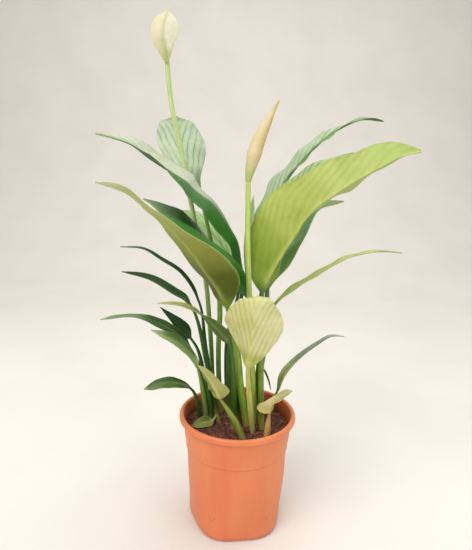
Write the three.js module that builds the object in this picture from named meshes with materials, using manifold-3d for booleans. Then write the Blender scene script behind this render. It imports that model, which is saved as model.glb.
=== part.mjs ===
// A potted peace lily: a terracotta-coloured plastic nursery pot filled with peat soil, twenty-four
// leaves on their stalks, and two flowers. Millimetres, +Z up. The origin is the centre of the pot's
// underside, +X is to the right and +Y is away from the front.

import * as THREE from 'three';
import { mergeVertices } from 'three/addons/utils/BufferGeometryUtils.js';
import Module from 'manifold-3d';

// ---- driving dimensions ----

const potHeight = 116;
const rimRadius = 60;          // outside of the rolled lip
const wallThickness = 1.5;
const floorThickness = 2;
const soilHeight = 101;        // mean height of the soil surface
const soilRoughness = 1.1;     // how far the surface rises and falls
const gap = 0.4;               // clearance between neighbouring pieces

const potSides = 48;           // facets round the pot
const lobeCount = 5;           // the foot of the pot is a soft five-sided shape
const lobeDepth = 0.038;       // how far a lobe stands out, as a share of the radius
const lobeTop = 40;            // height where the lobes have faded into the round wall
const lobeTurn = -119;         // direction of the first lobe, in degrees
const drainHoles = 5;
const drainHoleRadius = 4;
const drainHoleDistance = 33;

const bladeThickness = 0.8;
const tipThickness = 0.7;

// ---- colours ----

const terracotta = 0xd9794f;
const peat = 0x3a241c;
const leafGreen = 0x3f7a2a;
const paleGreen = 0xb9c98a;
const cream = 0xf4ecd4;
const ivory = 0xefe3ae;
const stalkGreen = 0xa3bf58;

// ---- leaves ----

// Each leaf grows along a spine: foot in the soil, points up its stalk, then from the point `neck` on
// the midrib of its blade, to the tip. `lean` is the direction that it leans in, in degrees from +X.
// `width` is the blade's full width and `outline` its share at even steps from the base to the tip.
// `fold` raises both halves into a V and `roll` turns the blade about its midrib, both from base to
// tip. `curl` turns the edges down, and `wave` is the height and count of the waves along the edges.
// `foot` is the radius of the stalk in the soil, where it differs from the usual one for the width.
const leaves = [
  { name: 'leaf_01', lean: 183, width: 58, curl: 0.1, neck: 2,
    outline: [0, 0.36, 0.57, 0.87, 1, 0.92, 0.6, 0.21, 0],
    fold: [-15, -14, 2, 26, 38], roll: [28, 16, 16, 12, 53], wave: [0.8, 4],
    spine: [[-6, 13, 89], [-8, 12, 177], [2, 13, 241], [0, 13, 270], [-4, 12, 290],
      [-11, 11, 302], [-20, 9, 316], [-30, 7, 328], [-39, 5, 334], [-47, 3, 340], [-54, 1, 347],
      [-69, -1, 356], [-87, -5, 367], [-104, -7, 379], [-123, -8, 385], [-136, -8, 388]] },
  { name: 'leaf_02', lean: 120, width: 54, curl: 0.12, neck: 6,
    outline: [0, 0.3, 0.58, 0.84, 1, 0.98, 0.8, 0.48, 0],
    fold: [6, 6], roll: [-8, 6, 6], wave: [0.8, 4], foot: 2.8,
    spine: [[-16, 22, 89], [-21, 30, 138], [-22, 31, 175], [-21, 31, 212], [-23, 30, 239],
      [-32, 32, 289], [-44, 42, 333], [-58, 57, 360], [-67, 75, 388], [-75, 97, 416],
      [-80, 122, 428]] },
  { name: 'leaf_03', lean: 195, width: 66, curl: 0, neck: 3,
    outline: [0, 0.66, 1, 0.98, 0.63, 0.33, 0.33, 0.33, 0],
    fold: [33, 14, 6, -4, 1], roll: [-41, -22, -18, -10, -12], wave: [0.8, 3], foot: 3.7,
    spine: [[12, -3, 89], [2, -10, 148], [-2, -17, 185], [-12, -31, 233], [-17, -36, 244],
      [-23, -41, 255], [-32, -47, 269], [-42, -54, 285], [-55, -60, 301], [-65, -64, 313],
      [-75, -67, 321], [-93, -72, 337], [-116, -74, 342]] },
  { name: 'leaf_04', lean: 190, width: 45, curl: 0.15, neck: 2,
    outline: [0, 0.68, 0.71, 0.84, 1, 0.92, 0.76, 0.4, 0],
    fold: [-33, -18, -7, 18, 20], roll: [41, 30, 9, 26, 27], wave: [0.6, 4],
    spine: [[1, 4, 89], [-3, -5, 183], [8, -13, 236], [8, -14, 248], [4, -15, 261],
      [-5, -16, 273], [-18, -16, 285], [-30, -17, 293], [-37, -18, 298], [-45, -19, 304],
      [-56, -20, 310], [-68, -21, 317], [-80, -22, 325], [-90, -23, 330]] },
  { name: 'leaf_05', lean: 170, width: 31, curl: 0.1, neck: 2,
    outline: [0, 0.24, 0.5, 0.66, 0.84, 1, 0.99, 0.81, 0],
    fold: [20, 20], roll: [47, 10], wave: [0.6, 4],
    spine: [[-10, 33, 89], [-12, 41, 178], [-1, 45, 241], [-7, 47, 260], [-16, 50, 274],
      [-31, 54, 292], [-49, 58, 307], [-70, 61, 319]] },
  { name: 'leaf_06', lean: -20, width: 80, curl: 0, neck: 3,
    outline: [0, 0.63, 0.87, 1, 0.8, 0.73, 0.58, 0.42, 0],
    fold: [40, 53, 55], roll: [33, 41, 58, 50], wave: [2.6, 5], foot: 3.4,
    spine: [[25.5, -1, 89], [22, -6, 161], [20, -12, 191], [20, -25, 247], [30, -35, 273],
      [41, -45, 295], [57, -57, 323], [73, -65, 337], [88, -70, 348], [103, -74, 357],
      [119, -76, 366], [134, -78, 370]] },
  { name: 'leaf_07', lean: 10, width: 42, curl: 0.2, neck: 3,
    outline: [0, 0.66, 0.84, 1, 0.71, 0.76, 0.3, 0.34, 0],
    fold: [40, 31, 22], roll: [-27, -11, -16, -4], wave: [2.2, 5.5], foot: 3.1,
    spine: [[18.5, 25.5, 89], [22, 28, 146], [25, 30, 185], [23, 43, 279], [31, 53, 326],
      [44, 58, 347], [58, 60, 367], [73, 62, 384], [89, 64, 399], [109, 66, 412], [127, 66, 419],
      [150, 67, 418]] },
  { name: 'leaf_08', lean: 10, width: 34, curl: 0.1, neck: 3,
    outline: [0, 0.63, 0.9, 1, 0.97, 0.85, 0.66, 0.4, 0],
    fold: [25, 25], roll: [-40, -40, -20], wave: [1.5, 4], foot: 2.8,
    spine: [[26, 14.5, 89], [24, 15, 152], [29, 18, 192], [30, 25, 268], [44, 29, 324],
      [69, 28, 355], [91, 28, 370], [111, 28, 380]] },
  { name: 'leaf_09', lean: 0, width: 33, curl: 0.1, neck: 3,
    outline: [0, 0.64, 0.96, 1, 0.9, 0.72, 0.48, 0.32, 0],
    fold: [11, 0, 21], roll: [-32, -34, -26], wave: [1, 3], foot: 2.8,
    spine: [[26.5, 7, 89], [23, 4, 156], [27, -2, 206], [26, -4, 245], [36, -3, 273],
      [47, 0, 294], [57, 3, 311], [73, 6, 326], [99, 10, 332]] },
  { name: 'leaf_10', lean: 60, width: 12, curl: 0.1, neck: 2,
    outline: [0, 0.52, 0.79, 0.95, 1, 0.95, 0.79, 0.52, 0],
    fold: [30, 30], roll: [0, 0], wave: [0, 3],
    spine: [[12, 12, 89], [11, 8, 184], [9, 14, 241], [8, 17, 281], [11, 20, 336]] },
  { name: 'leaf_11', lean: 0, width: 12, curl: 0, neck: 3,
    outline: [0, 0.9, 1, 0.95, 0.9, 0.86, 0.8, 0.5, 0],
    fold: [14, 14], roll: [-14, -8, 0], wave: [0.5, 5],
    spine: [[26, -9, 89], [22, -15, 164], [23, -21, 204], [33, -18, 234], [44, -16, 244],
      [59, -14, 254], [77, -12, 265], [97, -11, 277], [114, -11, 283], [134, -11, 286],
      [152, -11, 285]] },
  { name: 'leaf_12', lean: -90, width: 55, curl: 0.03, neck: 2,
    outline: [0, 0.4, 0.66, 0.9, 1, 0.88, 0.6, 0.3, 0],
    fold: [25, 20, 8], roll: [30, 4, 1], wave: [1, 3], foot: 2.7,
    spine: [[17, -13, 89], [10, -33, 151], [8, -48, 182], [10, -58, 209], [12, -64, 233],
      [14, -63, 249], [15, -56, 250], [15, -48, 244]] },
  { name: 'leaf_13', lean: 180, width: 9, curl: 0.1, neck: 2,
    outline: [0, 0.73, 0.94, 1, 0.96, 0.83, 0.63, 0.35, 0],
    fold: [25, 25], roll: [20, 10], wave: [0, 3],
    spine: [[-22, 24, 89], [-35, 20, 173], [-42, 16, 226], [-60, 14, 256], [-80, 12, 270],
      [-98, 10, 281], [-120, 8, 283]] },
  { name: 'leaf_14', lean: 180, width: 20, curl: 0.1, neck: 2,
    outline: [0, 0.73, 0.94, 1, 0.96, 0.83, 0.63, 0.35, 0],
    fold: [25, 25], roll: [-40, -30], wave: [0, 3],
    spine: [[-20, 15, 89], [-33, 4, 168], [-49, -4, 228], [-67, -8, 241], [-87, -12, 254],
      [-113, -16, 262]] },
  { name: 'leaf_15', lean: 190, width: 16, curl: 0.1, neck: 2,
    outline: [0, 0.99, 0.99, 0.99, 1, 0.55, 0.35, 0.23, 0],
    fold: [15, 15], roll: [-62, -41, 24, 36], wave: [0, 3],
    spine: [[-4, -6, 89], [-5, -20, 160], [-9, -32, 198], [-19, -37, 212], [-30, -41, 224],
      [-41, -44, 233], [-51, -46, 238], [-62, -48, 240], [-73, -50, 240]] },
  { name: 'leaf_16', lean: 180, width: 15, curl: 0.1, neck: 2,
    outline: [0, 0.89, 0.92, 1, 0.79, 0.45, 0.34, 0.32, 0],
    fold: [12, 12], roll: [23, 19, 30], wave: [0, 3],
    spine: [[-27, 12, 89], [-32, 3, 136], [-49, -7, 185], [-59, -9, 197], [-70, -11, 206],
      [-82, -12, 212], [-92, -15, 217], [-104, -16, 219], [-118, -17, 218], [-134, -18, 215]] },
  { name: 'leaf_17', lean: 175, width: 18, curl: 0.1, neck: 2,
    outline: [0, 0.75, 1, 0.95, 0.8, 0.6, 0.42, 0.22, 0],
    fold: [10, 10], roll: [30, 20], wave: [0, 3],
    spine: [[-30, 19, 89], [-42, 12, 174], [-50, 10, 189], [-62, 9, 204], [-81, 8, 222]] },
  { name: 'leaf_18', lean: 180, width: 13, curl: 0.05, neck: 2,
    outline: [0, 0.48, 0.69, 0.81, 0.88, 1, 0.75, 0.44, 0],
    fold: [20, 20], roll: [55, 33, 32], wave: [0.6, 3],
    spine: [[-33, 8, 89], [-34, 4, 116], [-41, -8, 164], [-45, -12, 176], [-53, -16, 187],
      [-62, -20, 196], [-73, -24, 203], [-84, -28, 209]] },
  { name: 'leaf_19', lean: 160, width: 28, curl: 0.1, neck: 2,
    outline: [0, 1, 0.99, 0.73, 0.67, 0.58, 0.39, 0.29, 0],
    fold: [25, 25], roll: [-71, -75], wave: [0.8, 2.5],
    spine: [[10, -27, 89], [-1, -27, 115], [-17, -28, 141], [-22, -29, 150], [-27, -29, 159],
      [-32, -28, 166], [-39, -26, 174]] },
  { name: 'leaf_20', lean: 185, width: 12, curl: 0.1, neck: 2,
    outline: [0, 0.52, 0.79, 0.95, 1, 0.95, 0.79, 0.52, 0],
    fold: [8, 8], roll: [50, 40], wave: [0.6, 3],
    spine: [[-40, 9, 89], [-41, 0, 122], [-49, -6, 142], [-71, -10, 149], [-94, -14, 143]] },
  { name: 'leaf_21', lean: 190, width: 13, curl: 0.1, neck: 2,
    outline: [0, 0.75, 0.95, 1, 1, 0.92, 0.78, 0.5, 0],
    fold: [20, 20], roll: [35, 25], wave: [0, 3],
    spine: [[-16, 4, 89], [-22, 0, 109], [-25, -2, 105], [-35, -8, 105], [-46, -10, 102]] },
  { name: 'leaf_22', lean: 0, width: 27, curl: 0.1, neck: 1,
    outline: [0, 1, 0.57, 0.39, 0.36, 0.33, 0.32, 0.29, 0],
    fold: [38, 40], roll: [36, 110, 71], wave: [0.5, 3],
    spine: [[29, -24, 89], [31, -24, 126], [32, -26, 134], [37, -28, 142], [44, -30, 148],
      [52, -30, 152]] },
  { name: 'leaf_23', lean: 0, width: 10, curl: 0.1, neck: 2,
    outline: [0, 0.85, 1, 0.85, 0.7, 0.6, 0.5, 0.35, 0],
    fold: [25, 25], roll: [-30, -30], wave: [0, 3],
    spine: [[37, 24, 89], [37, 20, 109], [42, 14, 131], [48, 10, 152], [57, 8, 166], [68, 6, 178],
      [81, 4, 189], [92, 2, 197], [106, 0, 198]] },
  { name: 'leaf_24', lean: 0, width: 7, curl: 0.1, neck: 3,
    outline: [0, 0.73, 0.94, 1, 0.96, 0.83, 0.63, 0.35, 0],
    fold: [20, 20], roll: [0, 0], wave: [0, 3],
    spine: [[27, 21, 89], [25, 20, 135], [25, 20, 149], [27, 20, 153], [32, 20, 143],
      [36, 20, 130]] },
];

// ---- flowers ----

const tallStalk = [[-22.5, 31, 89], [-28, 31, 137], [-30, 30, 175], [-33, 30, 212], [-36, 30, 242],
  [-49, 32, 309], [-55, 33, 338], [-64, 32, 384], [-72, 29, 422], [-75.5, 26, 456], [-76, 26, 466]];
const openSpathe = { lean: -90, width: 28, fold: [14, 14], curl: -0.4,
  outline: [0, 0.31, 0.54, 0.78, 0.95, 1, 0.97, 0.3, 0],
  spine: [[-75.5, 21.4, 458], [-77, 20, 470], [-78.5, 18.5, 482], [-77, 19.5, 495], [-73, 23, 507]],
  roll: [0, 0], wave: [0, 3] };
const spadixLength = 22;
const spadixRadius = 3.1;

const shortStalk = [[19, 4, 89], [14, -14, 161], [11, -20, 187], [8, -33, 246], [5, -38, 296],
  [4, -38, 346]];
const furledSpathe = [
  { at: [4, -38, 346.8], radius: 2.4 },
  { at: [5.5, -38, 356], radius: 4.4 },
  { at: [8.5, -38, 369], radius: 6.6 },
  { at: [12.5, -38, 382], radius: 6 },
  { at: [18.5, -39, 395], radius: 4 },
  { at: [24, -40, 406], radius: 1.8 },
  { at: [28, -41, 413], radius: 0.6 },
];

// ---- solids ----

const wasm = await Module();
wasm.setup();

function toSolid(geometry) {
  const bare = new THREE.BufferGeometry();
  bare.setAttribute('position', geometry.getAttribute('position'));
  if (geometry.index) bare.setIndex(geometry.index);
  const merged = mergeVertices(bare, 1e-4);
  return new wasm.Manifold(new wasm.Mesh({
    numProp: 3,
    vertProperties: new Float32Array(merged.getAttribute('position').array),
    triVerts: new Uint32Array(merged.index.array),
  }));
}

function toGeometry(solid) {
  const mesh = solid.getMesh();
  const geometry = new THREE.BufferGeometry();
  geometry.setAttribute('position', new THREE.BufferAttribute(mesh.vertProperties, 3));
  geometry.setIndex(new THREE.BufferAttribute(mesh.triVerts, 1));
  geometry.computeVertexNormals();
  return geometry;
}

// Skins a row of rings, all with the same number of points, into one closed body. A ring runs along
// the upper face and back along the lower one; both faces take the same diagonals.
function skin(rings) {
  const count = rings[0].length;
  const half = count / 2;
  const index = [];
  for (let i = 0; i + 1 < rings.length; i++) {
    for (let j = 0; j < count; j++) {
      const a = i * count + j;
      const b = i * count + ((j + 1) % count);
      const c = b + count;
      const d = a + count;
      if (j < half) index.push(a, b, c, a, c, d);
      else index.push(a, b, d, b, c, d);
    }
  }
  const last = (rings.length - 1) * count;
  for (let k = 0; k + 1 < half; k++) {
    const lower = count - 1 - k;
    index.push(k, lower - 1, k + 1, k, lower, lower - 1);
    index.push(last + k, last + k + 1, last + lower - 1, last + k, last + lower - 1, last + lower);
  }
  const geometry = new THREE.BufferGeometry();
  const places = rings.flat().flatMap((p) => p.toArray());
  geometry.setAttribute('position', new THREE.Float32BufferAttribute(places, 3));
  geometry.setIndex(index);
  geometry.computeVertexNormals();
  return geometry;
}

function curveThrough(points) {
  const places = points.map((p) => new THREE.Vector3(...p));
  const curve = new THREE.CatmullRomCurve3(places, false, 'centripetal');
  curve.arcLengthDivisions = 400;
  return curve;
}

// Where along its length, from 0 to 1, the curve passes its control point number k.
function lengthAt(curve, k) {
  const lengths = curve.getLengths();
  const mark = (k / (curve.points.length - 1)) * (lengths.length - 1);
  return lengths[Math.round(mark)] / lengths[lengths.length - 1];
}

const along = (values, t) => {
  const place = t * (values.length - 1);
  const k = Math.min(Math.floor(place), values.length - 2);
  return THREE.MathUtils.lerp(values[k], values[k + 1], place - k);
};

// A smooth line through values at even steps, read at t from 0 to 1, and never below zero.
function smoothAlong(values, t) {
  const place = t * (values.length - 1);
  const k = Math.min(Math.floor(place), values.length - 2);
  const u = place - k;
  const b = values[k];
  const c = values[k + 1];
  const a = values[k - 1] ?? 2 * b - c;
  const d = values[k + 2] ?? 2 * c - b;
  const bend = (c - a) * u + (2 * a - 5 * b + 4 * c - d) * u * u + (3 * b - a - 3 * c + d) * u ** 3;
  return Math.max(0, b + bend / 2);
}

const columns = [-1, -0.5, 0, 0.5, 1];         // across a blade, from edge to edge
const columnAngle = (k) => Math.PI * (0.9 - 0.2 * k);    // the same points round a stalk

// One ring of ten points: a round stalk where `blade` is missing, a folded blade where it is given.
function leafRing(curve, t, leaf, radius, blade) {
  const centre = curve.getPointAt(t);
  const tangent = curve.getTangentAt(t);
  const lean = THREE.MathUtils.degToRad(leaf.lean);
  const side = new THREE.Vector3(Math.sin(lean), -Math.cos(lean), 0);
  side.addScaledVector(tangent, -side.dot(tangent)).normalize();
  const face = new THREE.Vector3().crossVectors(side, tangent);
  const roll = THREE.MathUtils.degToRad(along(leaf.roll, blade ? blade.s : 0));
  const across = side.clone().multiplyScalar(Math.cos(roll)).addScaledVector(face, Math.sin(roll));
  const up = face.clone().multiplyScalar(Math.cos(roll)).addScaledVector(side, -Math.sin(roll));
  const place = (x, z) => centre.clone().addScaledVector(across, x).addScaledVector(up, z);

  const upper = [];
  const lower = [];
  columns.forEach((u, k) => {
    const round = { x: radius * Math.cos(columnAngle(k)), z: radius * Math.sin(columnAngle(k)) };
    if (!blade) {
      upper.push(place(round.x, round.z));
      lower.unshift(place(round.x, -round.z));
      return;
    }
    const { s, flat } = blade;
    const fold = THREE.MathUtils.degToRad(along(leaf.fold, s)) * flat;
    const half = (leaf.width / 2) * smoothAlong(leaf.outline, s);
    const ripple = Math.sin(2 * Math.PI * leaf.wave[1] * s + (u > 0 ? 0 : 2.1));
    const wave = leaf.wave[0] * Math.sqrt(half / (leaf.width / 2)) * u * u * ripple;
    const x = half * u * Math.cos(fold) + round.x * (1 - flat);
    const z = half * (Math.abs(u) * Math.sin(fold) - leaf.curl * u * u) + wave;
    const thick = THREE.MathUtils.lerp(bladeThickness, tipThickness, s) / 2;
    const rib = u === 0 ? THREE.MathUtils.lerp(radius, thick / Math.cos(fold), Math.sqrt(s)) : thick;
    const tilt = Math.sign(u) * fold;
    const over = THREE.MathUtils.lerp(round.z, thick, flat);
    const under = THREE.MathUtils.lerp(round.z, rib, flat);
    upper.push(place(x - Math.sin(tilt) * over, z + Math.cos(tilt) * over));
    lower.unshift(place(x + Math.sin(tilt) * under, z - Math.cos(tilt) * under));
  });
  return [...upper, ...lower];
}

// The sheath that wraps the foot of a stalk makes it thicker on a larger leaf.
const footRadius = (leaf) => leaf.foot ?? 2.2 + leaf.width / 28;

// A leaf: its stalk keeps the sheath's width at first and thins to the neck, then opens into the blade
// over the blade's first tenth.
function leafGeometry(leaf) {
  const curve = curveThrough(leaf.spine);
  const neck = leaf.neck ? lengthAt(curve, leaf.neck) : 0;
  const length = curve.getLength();
  const foot = footRadius(leaf);
  const top = leaf.top ?? 1.1 + leaf.width / 70;
  const rings = [];
  const stalkSteps = leaf.neck ? Math.max(3, Math.round((neck * length) / 28)) : 0;
  for (let i = 0; i < stalkSteps; i++) {
    const share = i / stalkSteps;
    const slim = THREE.MathUtils.smoothstep(share, 0.5, 1);
    rings.push(leafRing(curve, neck * share, leaf, THREE.MathUtils.lerp(foot, top, slim)));
  }
  const bladeSteps = THREE.MathUtils.clamp(Math.round(((1 - neck) * length) / 12), 7, 18);
  for (let i = 0; i <= bladeSteps; i++) {
    const s = i / bladeSteps;
    const end = 0.985;                                  // the tip keeps a small blunt end
    const flat = THREE.MathUtils.smoothstep(s, -0.02, 0.14);
    rings.push(leafRing(curve, neck + (1 - neck) * s, leaf, top, { s: s * end, flat }));
  }
  return skin(rings);
}

// A round stalk with eight sides, thinning from foot to top.
function stalkGeometry(points, footRadius, topRadius, startAt = 0) {
  const curve = curveThrough(points);
  const steps = Math.max(3, Math.round(curve.getLength() / 30));
  const rings = [];
  for (let i = 0; i <= steps; i++) {
    const t = startAt + (1 - startAt) * (i / steps);
    rings.push(roundRing(curve, t, THREE.MathUtils.lerp(footRadius, topRadius, t), 8));
  }
  return skin(rings);
}

function roundRing(curve, t, radius, sides, shape = () => 1) {
  const centre = curve.getPointAt(t);
  const tangent = curve.getTangentAt(t);
  const across = new THREE.Vector3(1, 0, 0);
  across.addScaledVector(tangent, -across.dot(tangent)).normalize();
  const up = new THREE.Vector3().crossVectors(across, tangent);
  const ring = [];
  for (let j = 0; j < sides; j++) {
    const angle = Math.PI * (1 - (2 * (j + 0.5)) / sides);
    const r = radius * shape(angle);
    const place = centre.clone().addScaledVector(across, r * Math.cos(angle));
    ring.push(place.addScaledVector(up, r * Math.sin(angle)));
  }
  return ring;
}

// The part of a stem that stands in the soil, made wider by the gap and carried up out of the soil.
function stemHole(points, radius) {
  const curve = curveThrough(points);
  const rings = [];
  const reach = (soilHeight + 6 - points[0][2]) / curve.getLength();
  for (const t of [0, reach / 2, reach]) rings.push(roundRing(curve, t, radius + gap + 0.25, 10));
  const down = curve.getTangentAt(0).multiplyScalar(-0.5);
  rings[0].forEach((p) => p.add(down));
  return toSolid(skin(rings));
}

// ---- pieces ----

// The pot's outside from the middle of the underside to the lip, then down the inside to the floor.
function potGeometry() {
  const t = wallThickness;
  const outside = [[0, 0], [44.5, 0], [47.4, 1.4], [48.3, 4], [48.9, 24], [50.5, 48], [51.8, 80.6],
    [52.9, 84.6], [54.6, 96], [55.6, 108.4], [58.4, 109.3], [rimRadius, 111.3],
    [rimRadius, 113.8], [58.7, 115.7], [57, potHeight]];
  const inside = [[55.2, 114.6], [54.2, 107], [54.6 - t, 96], [52.9 - t, 84.6], [51.8 - t, 80.6],
    [50.5 - t, 48], [48.9 - t, 24], [47.4 - t, floorThickness], [0, floorThickness]];
  const profile = [...outside, ...inside].map(([r, z]) => new THREE.Vector2(r, z));
  const shell = new THREE.LatheGeometry(profile, potSides);
  shell.rotateX(Math.PI / 2);
  addLobes(shell);
  let pot = toSolid(shell);
  for (let i = 0; i < drainHoles; i++) {
    const hole = new THREE.CylinderGeometry(drainHoleRadius, drainHoleRadius, 10, 12);
    hole.rotateX(Math.PI / 2);
    const angle = THREE.MathUtils.degToRad(lobeTurn + (360 * i) / drainHoles);
    hole.translate(drainHoleDistance * Math.cos(angle), drainHoleDistance * Math.sin(angle), 0);
    pot = pot.subtract(toSolid(hole));
  }
  return toGeometry(pot);
}

// Near the foot the wall swells into soft lobes, which fade out towards `lobeTop`.
function addLobes(geometry) {
  const place = geometry.getAttribute('position');
  for (let i = 0; i < place.count; i++) {
    const [x, y, z] = [place.getX(i), place.getY(i), place.getZ(i)];
    const fade = 1 - THREE.MathUtils.smoothstep(z, 4, lobeTop);
    const turn = Math.atan2(y, x) - THREE.MathUtils.degToRad(lobeTurn);
    const scale = 1 + lobeDepth * fade * Math.cos(lobeCount * turn);
    place.setXYZ(i, x * scale, y * scale, z);
  }
}

// The soil fills the pot up to its uneven surface, with a plain hole round each stem.
function soilGeometry(stems) {
  const t = wallThickness + 1.5 * gap;
  const profile = [[0, floorThickness + gap], [46.4 - t, floorThickness + gap], [48.6 - t, 24],
    [50.5 - t, 48], [51.8 - t, 80.6], [52.9 - t, 84.6], [54.6 - t, 96], [54.9 - t, soilHeight],
    [40, soilHeight], [26, soilHeight], [12, soilHeight], [0, soilHeight]];
  const plug = new THREE.LatheGeometry(profile.map(([r, z]) => new THREE.Vector2(r, z)), potSides);
  plug.rotateX(Math.PI / 2);
  addLobes(plug);
  const place = plug.getAttribute('position');
  for (let i = 0; i < place.count; i++) {
    if (place.getZ(i) < soilHeight - 0.01) continue;
    const [x, y] = [place.getX(i), place.getY(i)];
    place.setZ(i, soilHeight + soilRoughness * Math.sin(x / 7) * Math.cos(y / 6 + 1));
  }
  let soil = toSolid(plug);
  for (const stem of stems) soil = soil.subtract(stemHole(stem.points, stem.radius));
  return toGeometry(soil);
}

// The spadix stands in front of the open spathe: a blunt rod with low bumps in staggered rows.
function spadixGeometry() {
  const [x, y, z] = tallStalk[tallStalk.length - 1];
  const curve = curveThrough([[x, y, z + 0.8], [x, y + 0.8, z + spadixLength / 2],
    [x + 0.5, y + 1, z + spadixLength]]);
  const steps = 14;
  const rings = [];
  for (let i = 0; i <= steps; i++) {
    const t = i / steps;
    const round = Math.sqrt(Math.max(0.06, 1 - Math.max(0, (t - 0.72) / 0.28) ** 2));
    const swell = THREE.MathUtils.lerp(0.62, 1, THREE.MathUtils.smoothstep(t, 0, 0.2));
    const bumps = (angle) => 1 + 0.07 * Math.cos(6 * angle + Math.PI * i);
    rings.push(roundRing(curve, t, spadixRadius * round * swell, 12, bumps));
  }
  return skin(rings);
}

// The second flower's spathe is still rolled up: a slim spindle whose free edge overlaps in a step.
function furledGeometry() {
  const curve = curveThrough(furledSpathe.map((ring) => ring.at));
  const radii = furledSpathe.map((ring) => ring.radius);
  const steps = 16;
  const rings = [];
  for (let i = 0; i <= steps; i++) {
    const t = i / steps;
    const at = t * curve.getLength();
    const lengths = furledSpathe.map((_, k) => lengthAt(curve, k) * curve.getLength());
    let k = 0;
    while (k < lengths.length - 2 && lengths[k + 1] < at) k++;
    const radius = THREE.MathUtils.mapLinear(at, lengths[k], lengths[k + 1], radii[k], radii[k + 1]);
    const overlap = (angle) => 0.9 + 0.14 * (((angle + Math.PI * 2.2) / (Math.PI * 2)) % 1);
    rings.push(roundRing(curve, t, radius, 12, overlap));
  }
  return skin(rings);
}

// ---- the plant in its pot ----

const plastic = new THREE.MeshStandardMaterial({ color: terracotta, roughness: 0.45, metalness: 0 });
const soilStuff = new THREE.MeshStandardMaterial({ color: peat, roughness: 0.95, metalness: 0 });
const glossyLeaf = new THREE.MeshStandardMaterial({ color: leafGreen, roughness: 0.35, metalness: 0 });
const youngLeaf = new THREE.MeshStandardMaterial({ color: paleGreen, roughness: 0.5, metalness: 0 });
const stalkStuff = new THREE.MeshStandardMaterial({ color: stalkGreen, roughness: 0.5, metalness: 0 });
const spatheStuff = new THREE.MeshStandardMaterial({ color: cream, roughness: 0.6, metalness: 0 });
const spadixStuff = new THREE.MeshStandardMaterial({ color: ivory, roughness: 0.7, metalness: 0 });

const plant = new THREE.Group();
plant.name = 'potted_peace_lily';

function add(name, geometry, material) {
  const mesh = new THREE.Mesh(geometry, material);
  mesh.name = name;
  plant.add(mesh);
}

const paleLeaves = ['leaf_11', 'leaf_12', 'leaf_18', 'leaf_19', 'leaf_22', 'leaf_23'];
const stems = leaves.map((leaf) => ({ points: leaf.spine, radius: footRadius(leaf) }));
stems.push({ points: tallStalk, radius: 2.6 }, { points: shortStalk, radius: 3 });

add('pot', potGeometry(), plastic);
add('soil', soilGeometry(stems), soilStuff);
for (const leaf of leaves) {
  add(leaf.name, leafGeometry(leaf), paleLeaves.includes(leaf.name) ? youngLeaf : glossyLeaf);
}
add('flower_1_stalk', stalkGeometry(tallStalk, 2.6, 2.3), stalkStuff);
add('flower_1_spathe', leafGeometry({ ...openSpathe, top: 2 }), spatheStuff);
add('flower_1_spadix', spadixGeometry(), spadixStuff);
add('flower_2_stalk', stalkGeometry(shortStalk, 3, 2.2), stalkStuff);
add('flower_2_spathe', furledGeometry(), spatheStuff);

export default plant;
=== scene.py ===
import math
from functools import partial

import bpy
import numpy as np
from mathutils import Matrix, Vector


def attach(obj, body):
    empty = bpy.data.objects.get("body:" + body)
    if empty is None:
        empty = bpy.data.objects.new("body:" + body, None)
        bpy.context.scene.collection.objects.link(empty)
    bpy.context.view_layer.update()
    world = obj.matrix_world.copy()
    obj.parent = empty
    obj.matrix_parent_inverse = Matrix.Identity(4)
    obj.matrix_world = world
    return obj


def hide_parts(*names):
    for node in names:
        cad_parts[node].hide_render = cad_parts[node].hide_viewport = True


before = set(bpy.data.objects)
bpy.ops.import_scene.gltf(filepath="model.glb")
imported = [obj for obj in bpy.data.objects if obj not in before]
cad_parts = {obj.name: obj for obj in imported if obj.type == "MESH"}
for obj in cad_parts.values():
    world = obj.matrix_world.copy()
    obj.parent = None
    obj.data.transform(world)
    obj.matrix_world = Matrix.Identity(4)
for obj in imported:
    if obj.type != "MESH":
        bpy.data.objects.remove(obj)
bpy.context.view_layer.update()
print("frame loaded:", len(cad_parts), "nodes")

mm = 0.001
fullTurn = 6.28                        # radians, rounded
rng = np.random.default_rng(27)


def linear(hexText):                   # sRGB hex to the linear colour that Blender wants
    parts = [int(hexText[k:k + 2], 16) / 255 for k in (1, 3, 5)]
    return np.array([c / 12.92 if c <= 0.04045 else ((c + 0.055) / 1.055) ** 2.4 for c in parts])


def rgba(hexText):
    return (*linear(hexText), 1.0)


def smoothStep(x, low, high):
    t = np.clip((x - low) / (high - low), 0, 1)
    return t * t * (3 - 2 * t)


def lerp(a, b, t):
    return a + (b - a) * t


def along(values, t):
    return np.interp(t, np.linspace(0, 1, len(values)), values)


def smoothAlong(values, t):            # a smooth line through the values, never below zero
    v = np.array([2 * values[0] - values[1], *values, 2 * values[-1] - values[-2]], float)
    place = np.clip(t, 0, 1) * (len(values) - 1)
    k = np.minimum(place.astype(int), len(values) - 2)
    w = place - k
    a, b, c, d = v[k], v[k + 1], v[k + 2], v[k + 3]
    bend = (c - a) * w + (2 * a - 5 * b + 4 * c - d) * w ** 2 + (3 * b - a - 3 * c + d) * w ** 3
    return np.maximum(0, b + bend / 2)


def softNoise(x, seed):                # a smooth wandering line between about -1 and 1
    draw = np.random.default_rng(seed)
    total = np.zeros_like(np.asarray(x, float))
    for k in range(3):
        total += np.sin(x * (1.7 ** k) * fullTurn + draw.uniform(0, fullTurn)) / (1.5 ** k)
    return total / 2


def addMesh(name, points, faces, smooth=True):       # points in millimetres
    mesh = bpy.data.meshes.new(name)
    mesh.from_pydata([tuple(p) for p in np.asarray(points, float) * mm], [], faces)
    mesh.update()
    piece = bpy.data.objects.new(name, mesh)
    bpy.context.scene.collection.objects.link(piece)
    mesh.polygons.foreach_set("use_smooth", [smooth] * len(mesh.polygons))
    return piece


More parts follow.
